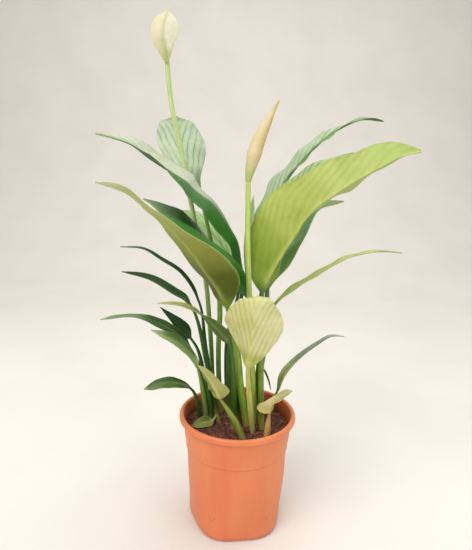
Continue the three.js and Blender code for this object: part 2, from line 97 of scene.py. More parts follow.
def setTint(piece, colours):           # one linear colour for each vertex
    layer = piece.data.color_attributes.new("tint", "FLOAT_COLOR", "POINT")
    flat = np.ones((len(colours), 4), np.float32)
    flat[:, :3] = colours
    layer.data.foreach_set("color", flat.ravel())


def setMap(piece, places, name="blade"):             # one place on the blade for each vertex
    layer = piece.data.uv_layers.new(name=name)
    corner = np.zeros(len(piece.data.loops), np.int32)
    piece.data.loops.foreach_get("vertex_index", corner)
    layer.data.foreach_set("uv", np.asarray(places, np.float32)[corner].ravel())


def ringFaces(rings, count, caps=True):              # skin over rings of points, each of `count`
    faces = []
    for i in range(rings - 1):
        for j in range(count):
            a, b = i * count + j, i * count + (j + 1) % count
            faces.append((a, b, b + count, a + count))
    if caps:
        faces.append(tuple(range(count))[::-1])
        faces.append(tuple(range((rings - 1) * count, rings * count)))
    return faces


# Adds a node with its settings, feeds its sockets in turn or by name, and gives back its outputs.
def addNode(tree, kind, feeds=(), **settings):
    made = tree.nodes.new("ShaderNode" + kind)
    for key, value in settings.items():
        setattr(made, key, value)
    for socket, value in feeds.items() if isinstance(feeds, dict) else enumerate(feeds):
        if isinstance(value, bpy.types.NodeSocket):
            tree.links.new(value, made.inputs[socket])
        else:
            made.inputs[socket].default_value = value
    return made.outputs


def newMaterial(name, roughness, ior=1.45):
    material = bpy.data.materials.new(name)
    material.use_nodes = True
    tree = material.node_tree
    shader = tree.nodes["Principled BSDF"]
    shader.inputs["Roughness"].default_value = roughness
    shader.inputs["IOR"].default_value = ior
    return material, tree, shader, partial(addNode, tree)


def patternScale(size):                # a noise pattern whose lumps are this many millimetres wide
    return 1 / (size * mm)


# Pot, in millimetres. The outlines are radius, height and how much the corner is rounded; the inner
# one runs on down from the lip, and its radii are those of the outside less the wall.
pot = {"wall": 1.5, "floor": 2.0, "sides": 160,
       "outside": [(0, 0), (20, 0), (40, 0), (44.5, 0, 1.5), (47.4, 1.4, 1.6), (48.3, 4, 2), (48.9, 24, 3),
                   (50.5, 48, 3), (51.75, 80.2, 0.8), (52.5, 81.6, 0.5), (52.95, 82.2, 0.5),
                   (52.9, 84.6, 0.5), (53.6, 89), (54.6, 96, 2), (55.5, 107.9, 0.6), (56.1, 108.8, 0.5),
                   (58.4, 109.3, 1), (59.8, 111, 1), (59.9, 112.1, 0.4), (59.5, 112.6, 0.3),
                   (59.75, 113.1, 0.3), (59.6, 114.2, 1), (58.6, 115.6, 1), (57, 116, 0.8),
                   (55.3, 114.8, 1), (54.4, 107, 2)],
       "inside": [(54.6, 96, 2), (52.9, 84.6, 1), (51.8, 80.6, 1), (50.5, 48, 2), (48.9, 24, 2),
                  (47.4, 2, 1.5)],
       "floorMiddle": 20.0,
       "wallHeights": (0, 4, 24, 48, 80, 84, 96, 107, 112, 116),      # where its outer radius is known
       "wallRadii": (46.6, 48.3, 48.9, 50.5, 51.7, 52.8, 54.6, 55.5, 57, 57.4),
       "lobes": 5, "lobeDepth": 0.038, "lobeTop": 40.0, "lobeTurn": -119.0,
       "holes": 5, "holeRadius": 4.0, "holeDistance": 33.0, "holeSides": 32,
       "markMiddle": 4.0, "markApart": 27.0, "markHeight": 20.5,      # two small dark V marks low on the front
       "flowWidth": 29.4, "flowLength": 133.7, "clouds": 58.8, "grain": 0.3846}


# Injection-moulded polypropylene: a satin skin with faint upright flow marks, a fine grain that
# hardly shows at this distance, and a darker band along the foot.
def mouldedPolypropylene():
    material, tree, shader, add = newMaterial("satinTerracottaPlastic", 0.42, 1.5)
    body = add("TexCoord")["Object"]
    upright = add("Mapping", {"Vector": body, "Scale": (1, 1, pot["flowWidth"] / pot["flowLength"])})[0]
    flow, cloud, grain = (
        add("TexNoise", {"Vector": place, "Scale": patternScale(pot[key]), "Detail": detail,
                         "Roughness": rough})[0]
        for place, key, detail, rough in ((upright, "flowWidth", 4.0, 0.6), (body, "clouds", 3.0, 0.5),
                                          (body, "grain", 2.0, 0.5)))
    spot = add("SeparateXYZ", (body,))
    pair = add("Math", (spot[0], pot["markMiddle"] * mm), operation="SUBTRACT")[0]
    pair = add("Math", (pair,), operation="ABSOLUTE")[0]
    aside = add("Math", (pair, pot["markApart"] * mm), operation="SUBTRACT")[0]
    aside = add("Math", (aside,), operation="ABSOLUTE")[0]
    slant = add("Math", (aside, 1.5), operation="MULTIPLY")[0]
    rise = add("Math", (spot[2], pot["markHeight"] * mm), operation="SUBTRACT")[0]
    rise = add("Math", (rise, slant), operation="SUBTRACT")[0]
    rise = add("Math", (rise,), operation="ABSOLUTE")[0]
    darkMark = 1.0                         # the dark V mark is where all three of these meet
    for value, clear, gone, depth in ((rise, 0.0004, 0.002, 1.0), (aside, 0.0026, 0.0042, 1.0),
                                      (spot[1], -0.028, -0.026, 0.3)):
        share = add("MapRange", (value, clear, gone, depth, 0.0))[0]
        darkMark = add("Math", (darkMark, share), operation="MULTIPLY")[0]
    # darker towards the foot: the bottom 6 mm blends to a darker brown
    footDarkening = add("MapRange", (spot[2], 0.0, 0.006, 0.35, 0.0))[0]
    colour = rgba("#d87448")
    # the vertex tint carries the painted shade inside the pot
    for share, tone, blend in ((add("MapRange", (flow, 0.35, 0.7))[0], rgba("#df8452"), "MIX"),
                               (add("MapRange", (cloud, 0.45, 0.75, 0.0, 0.5))[0], rgba("#cd6e42"), "MIX"),
                               (1.0, add("VertexColor", layer_name="tint")[0], "MULTIPLY"),
                               (darkMark, rgba("#9a5a3c"), "MIX"),
                               (footDarkening, rgba("#a3593a"), "MIX")):
        colour = add("Mix", {0: share, 6: colour, 7: tone}, data_type="RGBA", blend_type=blend)[2]
    tree.links.new(colour, shader.inputs["Base Color"])
    tree.links.new(add("MapRange", (flow, 0.3, 0.7, 0.38, 0.5))[0], shader.inputs["Roughness"])
    relief = add("Bump", {"Height": grain, "Strength": 0.25, "Distance": 0.0002})[0]
    tree.links.new(relief, shader.inputs["Normal"])
    return material


def footLobes(turn, height):           # the foot swells into five soft lobes
    fade = 1 - smoothStep(height, 4, pot["lobeTop"])
    return 1 + pot["lobeDepth"] * fade * np.cos(pot["lobes"] * (turn - math.radians(pot["lobeTurn"])))


def lobed(points):
    scale = footLobes(np.arctan2(points[:, 1], points[:, 0]), points[:, 2])
    return points * np.stack([scale, scale, np.ones_like(scale)], 1)


def lathe(profile, sides):
    angles = np.linspace(0, 2 * math.pi, sides, endpoint=False)
    rings = [np.stack([r * np.cos(angles), r * np.sin(angles), np.full(sides, z)], 1) for r, z in profile]
    return np.concatenate(rings)


def rounded(corners, steps=4):         # each corner of a profile becomes a short arc
    out = []
    for a, b, c in zip(corners, corners[1:], corners[2:]):
        size = b[2] if len(b) > 2 else 0
        pa, pb, pc = (np.array(p[:2], float) for p in (a, b, c))
        if not size:
            out.append(tuple(pb))
            continue
        start = pb + (pa - pb) / np.linalg.norm(pa - pb) * min(size, np.linalg.norm(pa - pb) * 0.45)
        end = pb + (pc - pb) / np.linalg.norm(pc - pb) * min(size, np.linalg.norm(pc - pb) * 0.45)
        for k in range(steps + 1):
            t = k / steps
            out.append(tuple((1 - t) ** 2 * start + 2 * t * (1 - t) * pb + t * t * end))
    return out


def closeMiddle(faces, sides, low):    # fans from the first ring to point `low`, and the last to the next
    for j in range(sides):
        n = (j + 1) % sides
        faces.append((low, n, j))
        faces.append((low + 1, low - sides + j, low - sides + n))


def makeDrillings():                   # one upright rod for each drain hole
    sides = pot["holeSides"]
    points, faces = [], []
    for i in range(pot["holes"]):
        angle = math.radians(pot["lobeTurn"] + 360 * i / pot["holes"])
        middle = pot["holeDistance"] * np.array([math.cos(angle), math.sin(angle), 0])
        base = len(points)
        points.extend(lathe([(pot["holeRadius"], -5), (pot["holeRadius"], 5)], sides) + middle)
        faces.extend(tuple(base + corner for corner in face) for face in ringFaces(2, sides))
    return addMesh("drillings", points, faces, smooth=False)


def makePot():
    sides = pot["sides"]
    inside = [(corner[0] - pot["wall"], *corner[1:]) for corner in pot["inside"]]
    profile = rounded([*pot["outside"], *inside, (pot["floorMiddle"], pot["floor"]), (0, pot["floor"])])
    points = np.concatenate([lobed(lathe(profile, sides)), [[0, 0, 0], [0, 0, pot["floor"]]]])
    faces = ringFaces(len(profile), sides, caps=False)
    closeMiddle(faces, sides, len(points) - 2)
    piece, drill = addMesh("moulded_pot", points, faces), makeDrillings()
    cut = piece.modifiers.new("drainHoles", "BOOLEAN")
    cut.operation, cut.object, cut.solver = "DIFFERENCE", drill, "EXACT"
    graph = bpy.context.evaluated_depsgraph_get()
    drilled = bpy.data.meshes.new_from_object(piece.evaluated_get(graph))
    piece.modifiers.clear()
    piece.data = drilled
    bpy.data.objects.remove(drill)
    return piece


def paintPot(piece):                   # painted shade darkens the inner wall, deepest towards the peat
    count = len(piece.data.vertices)
    spots = np.zeros(count * 3)
    piece.data.vertices.foreach_get("co", spots)
    x, y, z = spots.reshape(-1, 3).T / mm
    wall = np.interp(z, pot["wallHeights"], pot["wallRadii"]) * footLobes(np.arctan2(y, x), z)
    inside = (np.hypot(x, y) < wall - pot["wall"] / 2) & (z > pot["floor"] + 1)
    # painted shade on the inner wall only: none at 112 mm, full by 100 mm
    innerShade = smoothStep(112 - z, 0, 12) * inside
    setTint(piece, lerp(np.ones((count, 3)), np.array([[0.42, 0.3, 0.26]]), innerShade[:, None] * 0.85))


potPiece = makePot()
paintPot(potPiece)
potPiece.data.materials.append(mouldedPolypropylene())
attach(potPiece, "root")
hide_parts("pot")
print("pot made:", len(potPiece.data.vertices), "points")


# Soil, in millimetres. `side` is radius and height up the plug, and each radius is that of the pot.
soil = {"height": 101.0, "rough": 1.1, "gap": 0.6, "foot": (44.3, 2.6), "topRadius": 54.8, "topRings": 46,
        "side": [(48.6, 24), (50.4, 48), (51.7, 80.6), (52.8, 84.6), (54.5, 96), (54.8, 99)],
        "crumbs": 1500, "crumbReach": 51.5, "crumbSizes": [0.45, 0.7, 1.0, 1.5],
        "crumbShares": [0.4, 0.34, 0.19, 0.07], "fibreShare": 0.22, "gritShare": 0.03,
        "clods": 3.846, "specks": 0.7143}


# Damp peat: dark, dull fibres and crumbs, each a little redder or greyer than the next.
def dampPeat():
    material, tree, shader, add = newMaterial("dampPeat", 0.88)
    body = add("TexCoord")["Object"]
    clod, speck = (
        add("TexNoise", {"Vector": body, "Scale": patternScale(soil[key]), "Detail": detail,
                         "Roughness": rough})[0]
        for key, detail, rough in (("clods", 6.0, 0.7), ("specks", 3.0, 0.6)))
    colour = rgba("#2c1611")
    for share, tone, blend in ((add("MapRange", (clod, 0.35, 0.65))[0], rgba("#7c4534"), "MIX"),
                               (add("MapRange", (speck, 0.56, 0.66, 0.0, 0.85))[0], rgba("#c89a94"), "MIX"),
                               (1.0, add("VertexColor", layer_name="tint")[0], "MULTIPLY")):
        colour = add("Mix", {0: share, 6: colour, 7: tone}, data_type="RGBA", blend_type=blend)[2]
    tree.links.new(colour, shader.inputs["Base Color"])
    low = add("Math", (speck, 0.4), operation="MULTIPLY")[0]
    height = add("Math", (clod, low), operation="ADD")[0]
    relief = add("Bump", {"Height": height, "Strength": 0.9, "Distance": 0.0016})[0]
    tree.links.new(relief, shader.inputs["Normal"])
    return material


def soilTop(x, y):
    low = soil["height"] + soil["rough"] * np.sin(x / 7) * np.cos(y / 6 + 1)
    lump = 0.5 * np.sin(x * 0.9 + 2 * np.sin(y * 0.6)) * np.cos(y * 0.8 + np.sin(x * 0.5))
    fine = 0.35 * np.sin(x * 2.3 + 1.7 * np.sin(y * 1.9)) * np.sin(y * 2.1 + 1.3 * np.sin(x * 1.4))
    return low + lump + fine


def makeSoil():
    inward = pot["wall"] + soil["gap"]
    sides = pot["sides"]
    wall = lobed(lathe([soil["foot"], *((r - inward, z) for r, z in soil["side"])], sides))
    radii = np.linspace(soil["topRadius"] - inward, 1.2, soil["topRings"])
    top = lathe([(r, 0) for r in radii], sides)
    top[:, 2] = soilTop(top[:, 0], top[:, 1])
    points = np.concatenate([wall, top, [[0, 0, soil["foot"][1]], [0, 0, soilTop(0, 0)]]])
    faces = ringFaces(len(points) // sides, sides, caps=False)
    closeMiddle(faces, sides, len(points) - 2)
    piece = addMesh("peat_fill", points, faces)
    setTint(piece, np.ones((len(points), 3)))
    return piece


def crumbBall():                       # a rough ball of twelve corners: top, two rings of five, foot
    corners = [(0, 0, 1), (0.89, 0, 0.45), (0.28, 0.85, 0.45), (-0.72, 0.53, 0.45), (-0.72, -0.53, 0.45),
               (0.28, -0.85, 0.45), (0.72, 0.53, -0.45), (-0.28, 0.85, -0.45), (-0.89, 0, -0.45),
               (-0.28, -0.85, -0.45), (0.72, -0.53, -0.45), (0, 0, -1)]
    cells = []
    for k in range(5):
        a, b = 1 + k, 1 + (k + 1) % 5
        cells += [(0, a, b), (a, a + 5, b), (a + 5, b + 5, b), (11, b + 5, a + 5)]
    return np.array(corners), cells


def makeCrumbs():                      # loose crumbs, fibres and a few pale specks of grit on the peat
    ball, cells = crumbBall()
    tones = np.array([[1, 1, 1], [0.7, 0.55, 0.5], [1.5, 1.1, 0.9], [0.45, 0.4, 0.4]])
    points, faces, tints = [], [], []
    for _ in range(soil["crumbs"]):
        r = soil["crumbReach"] * math.sqrt(rng.uniform(0, 1))
        a = rng.uniform(0, 2 * math.pi)
        size = rng.choice(soil["crumbSizes"], p=soil["crumbShares"]) * rng.uniform(0.8, 1.2)
        long = rng.uniform(1, 3.2) if rng.uniform() < soil["fibreShare"] else rng.uniform(0.8, 1.3)
        shape = ball * (1 + rng.uniform(-0.22, 0.22, (12, 1)))
        shape = shape * np.array([size * long, size * 0.75, size * rng.uniform(0.5, 0.8)])
        spin = Matrix.Rotation(rng.uniform(0, fullTurn), 3, "Z")
        turn = np.array(spin @ Matrix.Rotation(rng.uniform(-0.5, 0.5), 3, "X"))
        x, y = r * math.cos(a), r * math.sin(a)
        shape = shape @ turn.T + np.array([x, y, soilTop(x, y) + size * 0.25])
        base = len(points)
        points.extend(shape)
        faces.extend(tuple(base + k for k in cell) for cell in cells)
        tone = tones[rng.choice(4, p=[0.4, 0.25, 0.2, 0.15])]
        if rng.uniform() < soil["gritShare"]:
            tone = np.array([4.5, 4.2, 3.8])
        tints.extend([tone] * len(ball))
    piece = addMesh("peat_crumbs", points, faces, smooth=False)
    setTint(piece, np.array(tints))
    return piece


peat = dampPeat()
soilPiece = makeSoil()
crumbs = makeCrumbs()
for piece in (soilPiece, crumbs):
    piece.data.materials.append(peat)
    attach(piece, "root")
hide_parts("soil")
print("soil made:", len(soilPiece.data.vertices) + len(crumbs.data.vertices), "points")


# Leaves, in millimetres and degrees. The spine runs from the foot in the soil up the stalk, and from
# its point `neck` on along the blade's midrib to the tip. `lean` is the direction that the leaf leans
# in, `width` the blade's full width, `outline` its share at even steps from base to tip, and `foot`
# the stalk's radius in the soil. `fold` raises both halves, `roll` turns the blade about its midrib,
# `curl` turns its edges down, and `wave` is the height and count of the waves along them. `veins` is
# the spacing of the side veins, how they slant, how they arch, and how strongly they show.
# Tones: `upper` is the face that looks up and `under` the one that looks down, with upper2 and under2
# for its other half where that differs, `base` the foot of the blade as far as `baseTo`, `outer` the
# far part of the blade, `tip` the end of it from `tipFrom` on, then `edge`, `rib` and `stalk`. The tones
# hold painted light: pale upper tones paint the sheen of the glossy face, dark halves paint shade, the
# edge tone paints a highlight along the margins, and some bases and stalks are painted lighter against
# the shade that falls on them.
plainLeaf = {"curl": 0.1, "wave": (0, 3), "baseTo": 0.22, "tipFrom": 0.9, "edge": "#c3d08a"}
lance = (0, 0.73, 0.94, 1, 0.96, 0.83, 0.63, 0.35, 0)
oval = (0, 0.52, 0.79, 0.95, 1, 0.95, 0.79, 0.52, 0)
leaves = [
    # large leaves on the left
    # leaf_01: the pale tone of its far half (upper2) is a painted sky reflection on the glossy face
    {"name": "leaf_01", "lean": 183, "width": 58, "neck": 2, "wave": (0.8, 4),
     "outline": (0, 0.36, 0.57, 0.87, 1, 0.92, 0.6, 0.21, 0), "fold": (-15, -14, 2, 26, 38),
     "roll": (28, 16, 16, 12, 53), "veins": (12, 2.4, 0.02, 0.4), "upper": "#2a7214",
     "upper2": "#ccd0bc", "under": "#1f7018", "base": "#2f7a10", "baseTo": 0.52, "edge": "#6b9a50",
     "rib": "#5c8a3c", "stalk": "#3c6a1c",
     "spine": [(-6, 13, 89), (-8, 12, 177), (2, 13, 241), (0, 13, 270), (-4, 12, 290), (-11, 11, 302),
               (-20, 9, 316), (-30, 7, 328), (-39, 5, 334), (-47, 3, 340), (-54, 1, 347), (-69, -1, 356),
               (-87, -5, 367), (-104, -7, 379), (-123, -8, 385), (-136, -8, 388)]},
    # leaf_02: its pale upper tones paint the sky reflection on the glossy face, and its stalk is painted
    # lighter against the shade of leaf_01
    {"name": "leaf_02", "lean": 120, "width": 54, "neck": 6, "foot": 2.8, "curl": 0.12, "wave": (0.8, 4),
     "outline": (0, 0.3, 0.58, 0.84, 1, 0.98, 0.8, 0.48, 0), "fold": (6, 6), "roll": (-8, 6, 6),
     "veins": (22, 2.9, 0.01, 1.4), "upper": "#b9c6ac", "upper2": "#b5c5aa", "under": "#5d8a48",
     "base": "#6d8a5a", "baseTo": 0.3, "tip": "#7fa070", "tipFrom": 0.5, "edge": "#cbd6bf",
     "rib": "#9db184", "stalk": "#86ad4c",
     "spine": [(-16, 22, 89), (-21, 30, 138), (-22, 31, 175), (-21, 31, 212), (-23, 30, 239),
               (-32, 32, 289), (-44, 42, 333), (-58, 57, 360), (-67, 75, 388), (-75, 97, 416),
               (-80, 122, 428)]},
    # leaf_03: its pale upper and tip tones paint the sheen on its upper face
    {"name": "leaf_03", "lean": 195, "width": 66, "neck": 3, "foot": 3.7, "curl": 0, "wave": (0.8, 3),
     "outline": (0, 0.66, 1, 0.98, 0.63, 0.33, 0.33, 0.33, 0), "fold": (33, 14, 6, -4, 1),
     "roll": (-41, -22, -18, -10, -12), "veins": (13, 2.3, 0.02, 0.35), "upper": "#cfd0b4",
     "under": "#9da13a", "under2": "#93a523", "base": "#616f15", "baseTo": 0.4, "outer": "#c9d488",
     "tip": "#eaeed9", "tipFrom": 0.82, "edge": "#c2c98a", "rib": "#c6cc70", "stalk": "#93b53c",
     "spine": [(12, -3, 89), (2, -10, 148), (-2, -17, 185), (-12, -31, 233), (-17, -36, 244),
               (-23, -41, 255), (-32, -47, 269), (-42, -54, 285), (-55, -60, 301), (-65, -64, 313),
               (-75, -67, 321), (-93, -72, 337), (-116, -74, 342)]},
    # leaf_04: the dark tone of its far half (upper2) is painted shade
    {"name": "leaf_04", "lean": 190, "width": 45, "neck": 2, "curl": 0.15, "wave": (0.6, 4),
     "outline": (0, 0.68, 0.71, 0.84, 1, 0.92, 0.76, 0.4, 0), "fold": (-33, -18, -7, 18, 20),
     "roll": (41, 30, 9, 26, 27), "veins": (10, 2.4, 0.02, 0.5), "upper": "#3c8119", "upper2": "#1c4a1a",
     "under": "#164a1b", "base": "#2e7514", "tip": "#9db192", "tipFrom": 0.68, "edge": "#9fbf7e",
     "rib": "#4f8a34", "stalk": "#286d19",
     "spine": [(1, 4, 89), (-3, -5, 183), (8, -13, 236), (8, -14, 248), (4, -15, 261), (-5, -16, 273),
               (-18, -16, 285), (-30, -17, 293), (-37, -18, 298), (-45, -19, 304), (-56, -20, 310),
               (-68, -21, 317), (-80, -22, 325), (-90, -23, 330)]},
    {"name": "leaf_05", "lean": 170, "width": 31, "neck": 2, "wave": (0.6, 4),
     "outline": (0, 0.24, 0.5, 0.66, 0.84, 1, 0.99, 0.81, 0), "fold": (20, 20), "roll": (47, 10),
     "veins": (15, 2.6, 0.01, 1.4), "upper": "#c3e3a1", "under": "#4f8a40", "base": "#a9d095",
     "edge": "#bcd0a6", "rib": "#9cb981", "stalk": "#2e5a20",
     "spine": [(-10, 33, 89), (-12, 41, 178), (-1, 45, 241), (-7, 47, 260), (-16, 50, 274),
               (-31, 54, 292), (-49, 58, 307), (-70, 61, 319)]},
    # large ones on the right
    {"name": "leaf_06", "lean": -20, "width": 80, "neck": 3, "foot": 3.4, "curl": 0, "wave": (2.6, 5),
     "outline": (0, 0.63, 0.87, 1, 0.8, 0.73, 0.58, 0.42, 0), "fold": (40, 53, 55),
     "roll": (33, 41, 58, 50), "veins": (17, 2.1, 0.012, 0.5), "upper": "#a9c48a", "under": "#bcca64",
     "base": "#95ae39", "baseTo": 0.34, "outer": "#c0cd78", "tip": "#b5cc70", "tipFrom": 0.76,
     "edge": "#a9b05c", "rib": "#e6ea8e", "stalk": "#5c8a34",
     "spine": [(25.5, -1, 89), (22, -6, 161), (20, -12, 191), (20, -25, 247), (30, -35, 273),
               (41, -45, 295), (57, -57, 323), (73, -65, 337), (88, -70, 348), (103, -74, 357),
               (119, -76, 366), (134, -78, 370)]},
    # leaf_07: its pale upper tone paints the highlights on its glossy bumps
    {"name": "leaf_07", "lean": 10, "width": 42, "neck": 3, "foot": 3.1, "curl": 0.2, "wave": (2.2, 5.5),
     "outline": (0, 0.66, 0.84, 1, 0.71, 0.76, 0.3, 0.34, 0), "fold": (40, 31, 22),
     "roll": (-27, -11, -16, -4), "veins": (14, 2.2, 0.02, 2), "upper": "#b9ccb0", "upper2": "#64953b",
     "under": "#3b8433", "base": "#4c8632", "baseTo": 0.26, "tip": "#5f8344", "tipFrom": 0.64,
     "edge": "#c6d3b8", "rib": "#86a862", "stalk": "#4f7f2c",
     "spine": [(18.5, 25.5, 89), (22, 28, 146), (25, 30, 185), (23, 43, 279), (31, 53, 326),
               (44, 58, 347), (58, 60, 367), (73, 62, 384), (89, 64, 399), (109, 66, 412), (127, 66, 419),
               (150, 67, 418)]},
    {"name": "leaf_08", "lean": 10, "width": 34, "neck": 3, "foot": 2.8, "wave": (1.5, 4),
     "outline": (0, 0.63, 0.9, 1, 0.97, 0.85, 0.66, 0.4, 0), "fold": (25, 25), "roll": (-40, -40, -20),
     "veins": (12, 2.2, 0.02, 1.4), "upper": "#abc58e", "under": "#5f9446", "base": "#86a868",
     "tip": "#8fae66", "tipFrom": 0.7, "stalk": "#6a9438",
     "spine": [(26, 14.5, 89), (24, 15, 152), (29, 18, 192), (30, 25, 268), (44, 29, 324), (69, 28, 355),
               (91, 28, 370), (111, 28, 380)]},
    # leaf_09: its base is painted lighter against the shade that leaf_06 casts on it
    {"name": "leaf_09", "lean": 0, "width": 33, "neck": 3, "foot": 2.8, "wave": (1, 3),
     "outline": (0, 0.64, 0.96, 1, 0.9, 0.72, 0.48, 0.32, 0), "fold": (11, 0, 21),
     "roll": (-32, -34, -26), "veins": (11, 2.2, 0.02, 0.5), "upper": "#6c9360", "under": "#3f7836",
     "base": "#a4ca90", "baseTo": 0.5, "tip": "#74843f", "tipFrom": 0.7, "stalk": "#4d7a2c",
     "spine": [(26.5, 7, 89), (23, 4, 156), (27, -2, 206), (26, -4, 245), (36, -3, 273), (47, 0, 294),
               (57, 3, 311), (73, 6, 326), (99, 10, 332)]},
    {"name": "leaf_10", "lean": 60, "width": 12, "neck": 2, "outline": oval, "fold": (30, 30),
     "roll": (0, 0), "veins": (9.6, 2.2, 0.02, 0.2), "upper": "#b3ca98", "under": "#7fa560",
     "stalk": "#4d7a2c",
     "spine": [(12, 12, 89), (11, 8, 184), (9, 14, 241), (8, 17, 281), (11, 20, 336)]},
    # a long narrow one on the right, then the round pale one in front
    {"name": "leaf_11", "lean": 0, "width": 12, "neck": 3, "curl": 0, "wave": (0.5, 5),
     "outline": (0, 0.9, 1, 0.95, 0.9, 0.86, 0.8, 0.5, 0), "fold": (14, 14), "roll": (-14, -8, 0),
     "veins": (10.8, 2.2, 0.02, 0.2), "upper": "#cdd48e", "under": "#d2d68e", "base": "#c1cc70",
     "tip": "#a3ab68", "tipFrom": 0.5, "stalk": "#7f9a34",
     "spine": [(26, -9, 89), (22, -15, 164), (23, -21, 204), (33, -18, 234), (44, -16, 244),
               (59, -14, 254), (77, -12, 265), (97, -11, 277), (114, -11, 283), (134, -11, 286),
               (152, -11, 285)]},
    {"name": "leaf_12", "lean": -90, "width": 55, "neck": 2, "foot": 2.7, "curl": 0.03, "wave": (1, 3),
     "outline": (0, 0.4, 0.66, 0.9, 1, 0.88, 0.6, 0.3, 0), "fold": (25, 20, 8), "roll": (30, 4, 1),
     "veins": (15, 3, 0.01, 0.8), "upper": "#cfcb8c", "under": "#ece8b4", "under2": "#dedc9c",
     "base": "#bdbd66", "tip": "#c6c06c", "edge": "#e4e1b4", "rib": "#eeea8c", "stalk": "#c8c86e",
     "spine": [(17, -13, 89), (10, -33, 151), (8, -48, 182), (10, -58, 209), (12, -64, 233),
               (14, -63, 249), (15, -56, 250), (15, -48, 244)]},
    # narrow ones low on the left
    {"name": "leaf_13", "lean": 180, "width": 9, "neck": 2, "outline": lance, "fold": (25, 25),
     "roll": (20, 10), "veins": (10.8, 2.2, 0.02, 0.15), "upper": "#1f5220", "under": "#1a4a1e",
     "tip": "#5c8a50", "edge": "#4c7a44", "rib": "#3f7038", "stalk": "#24501c",
     "spine": [(-22, 24, 89), (-35, 20, 173), (-42, 16, 226), (-60, 14, 256), (-80, 12, 270),
               (-98, 10, 281), (-120, 8, 283)]},
    {"name": "leaf_14", "lean": 180, "width": 20, "neck": 2, "outline": lance, "fold": (25, 25),
     "roll": (-40, -30), "veins": (10.8, 2.2, 0.02, 0.2), "upper": "#3c6329", "under": "#2b5526",
     "tip": "#b39a60", "edge": "#7c9a58", "rib": "#5f8240", "stalk": "#346413",
     "spine": [(-20, 15, 89), (-33, 4, 168), (-49, -4, 228), (-67, -8, 241), (-87, -12, 254),
               (-113, -16, 262)]},
    {"name": "leaf_15", "lean": 190, "width": 16, "neck": 2,
     "outline": (0, 0.99, 0.99, 0.99, 1, 0.55, 0.35, 0.23, 0), "fold": (15, 15),
     "roll": (-62, -41, 24, 36), "veins": (9.6, 2.2, 0.02, 0.3), "upper": "#899758", "under": "#5d7d27",
     "base": "#5a7030", "baseTo": 0.4, "outer": "#bdbd7c", "tip": "#cfcf8e", "tipFrom": 0.8,
     "stalk": "#526f27",
     "spine": [(-4, -6, 89), (-5, -20, 160), (-9, -32, 198), (-19, -37, 212), (-30, -41, 224),
               (-41, -44, 233), (-51, -46, 238), (-62, -48, 240), (-73, -50, 240)]},
    {"name": "leaf_16", "lean": 180, "width": 15, "neck": 2,
     "outline": (0, 0.89, 0.92, 1, 0.79, 0.45, 0.34, 0.32, 0), "fold": (12, 12), "roll": (23, 19, 30),
     "veins": (9.6, 2.2, 0.02, 0.3), "upper": "#446a35", "upper2": "#36602a", "under": "#4d7a34",
     "base": "#24441c", "baseTo": 0.3, "outer": "#73916d", "edge": "#a3b68c", "stalk": "#45722a",
     "spine": [(-27, 12, 89), (-32, 3, 136), (-49, -7, 185), (-59, -9, 197), (-70, -11, 206),
               (-82, -12, 212), (-92, -15, 217), (-104, -16, 219), (-118, -17, 218), (-134, -18, 215)]},
    {"name": "leaf_17", "lean": 175, "width": 18, "neck": 2,
     "outline": (0, 0.75, 1, 0.95, 0.8, 0.6, 0.42, 0.22, 0), "fold": (10, 10), "roll": (30, 20),
     "veins": (9.6, 2.2, 0.02, 0.2), "upper": "#214c26", "under": "#1f4a24", "tip": "#2f5a30",
     "edge": "#3f6a3c", "rib": "#335f30", "stalk": "#3a7221",
     "spine": [(-30, 19, 89), (-42, 12, 174), (-50, 10, 189), (-62, 9, 204), (-81, 8, 222)]},
    {"name": "leaf_18", "lean": 180, "width": 13, "neck": 2, "curl": 0.05, "wave": (0.6, 3),
     "outline": (0, 0.48, 0.69, 0.81, 0.88, 1, 0.75, 0.44, 0), "fold": (20, 20), "roll": (55, 33, 32),
     "veins": (7.2, 2.2, 0.02, 0.5), "upper": "#adc783", "upper2": "#5a7c39", "under": "#6d9444",
     "base": "#c9d8a4", "tip": "#e2e8d2", "tipFrom": 0.72, "edge": "#b3c392", "stalk": "#86a052",
     "spine": [(-33, 8, 89), (-34, 4, 116), (-41, -8, 164), (-45, -12, 176), (-53, -16, 187),
               (-62, -20, 196), (-73, -24, 203), (-84, -28, 209)]},
    # short ones low on the left
    {"name": "leaf_19", "lean": 160, "width": 28, "neck": 2, "wave": (0.8, 2.5),
     "outline": (0, 1, 0.99, 0.73, 0.67, 0.58, 0.39, 0.29, 0), "fold": (25, 25), "roll": (-71, -75),
     "veins": (8.4, 2.2, 0.02, 0.4), "upper": "#b9b76c", "upper2": "#9aa256", "under": "#c0bc74",
     "under2": "#9aa256", "edge": "#d2cf94", "rib": "#e0e09a", "stalk": "#93a24a",
     "spine": [(10, -27, 89), (-1, -27, 115), (-17, -28, 141), (-22, -29, 150), (-27, -29, 159),
               (-32, -28, 166), (-39, -26, 174)]},
    {"name": "leaf_20", "lean": 185, "width": 12, "neck": 2, "wave": (0.6, 3), "outline": oval,
     "fold": (8, 8), "roll": (50, 40), "veins": (9.6, 2.2, 0.02, 0.3), "upper": "#53712f",
     "upper2": "#325321", "under": "#3f7628", "base": "#1e3a11", "baseTo": 0.3, "edge": "#a3b67c",
     "stalk": "#3a5a22",
     "spine": [(-40, 9, 89), (-41, 0, 122), (-49, -6, 142), (-71, -10, 149), (-94, -14, 143)]},
    {"name": "leaf_21", "lean": 190, "width": 13, "neck": 2,
     "outline": (0, 0.75, 0.95, 1, 1, 0.92, 0.78, 0.5, 0), "fold": (20, 20), "roll": (35, 25),
     "veins": (7.2, 2.2, 0.02, 0.4), "upper": "#8c944c", "upper2": "#63711a", "under": "#86a045",
     "edge": "#cdc98e", "rib": "#b9bb74", "stalk": "#8a9a50",
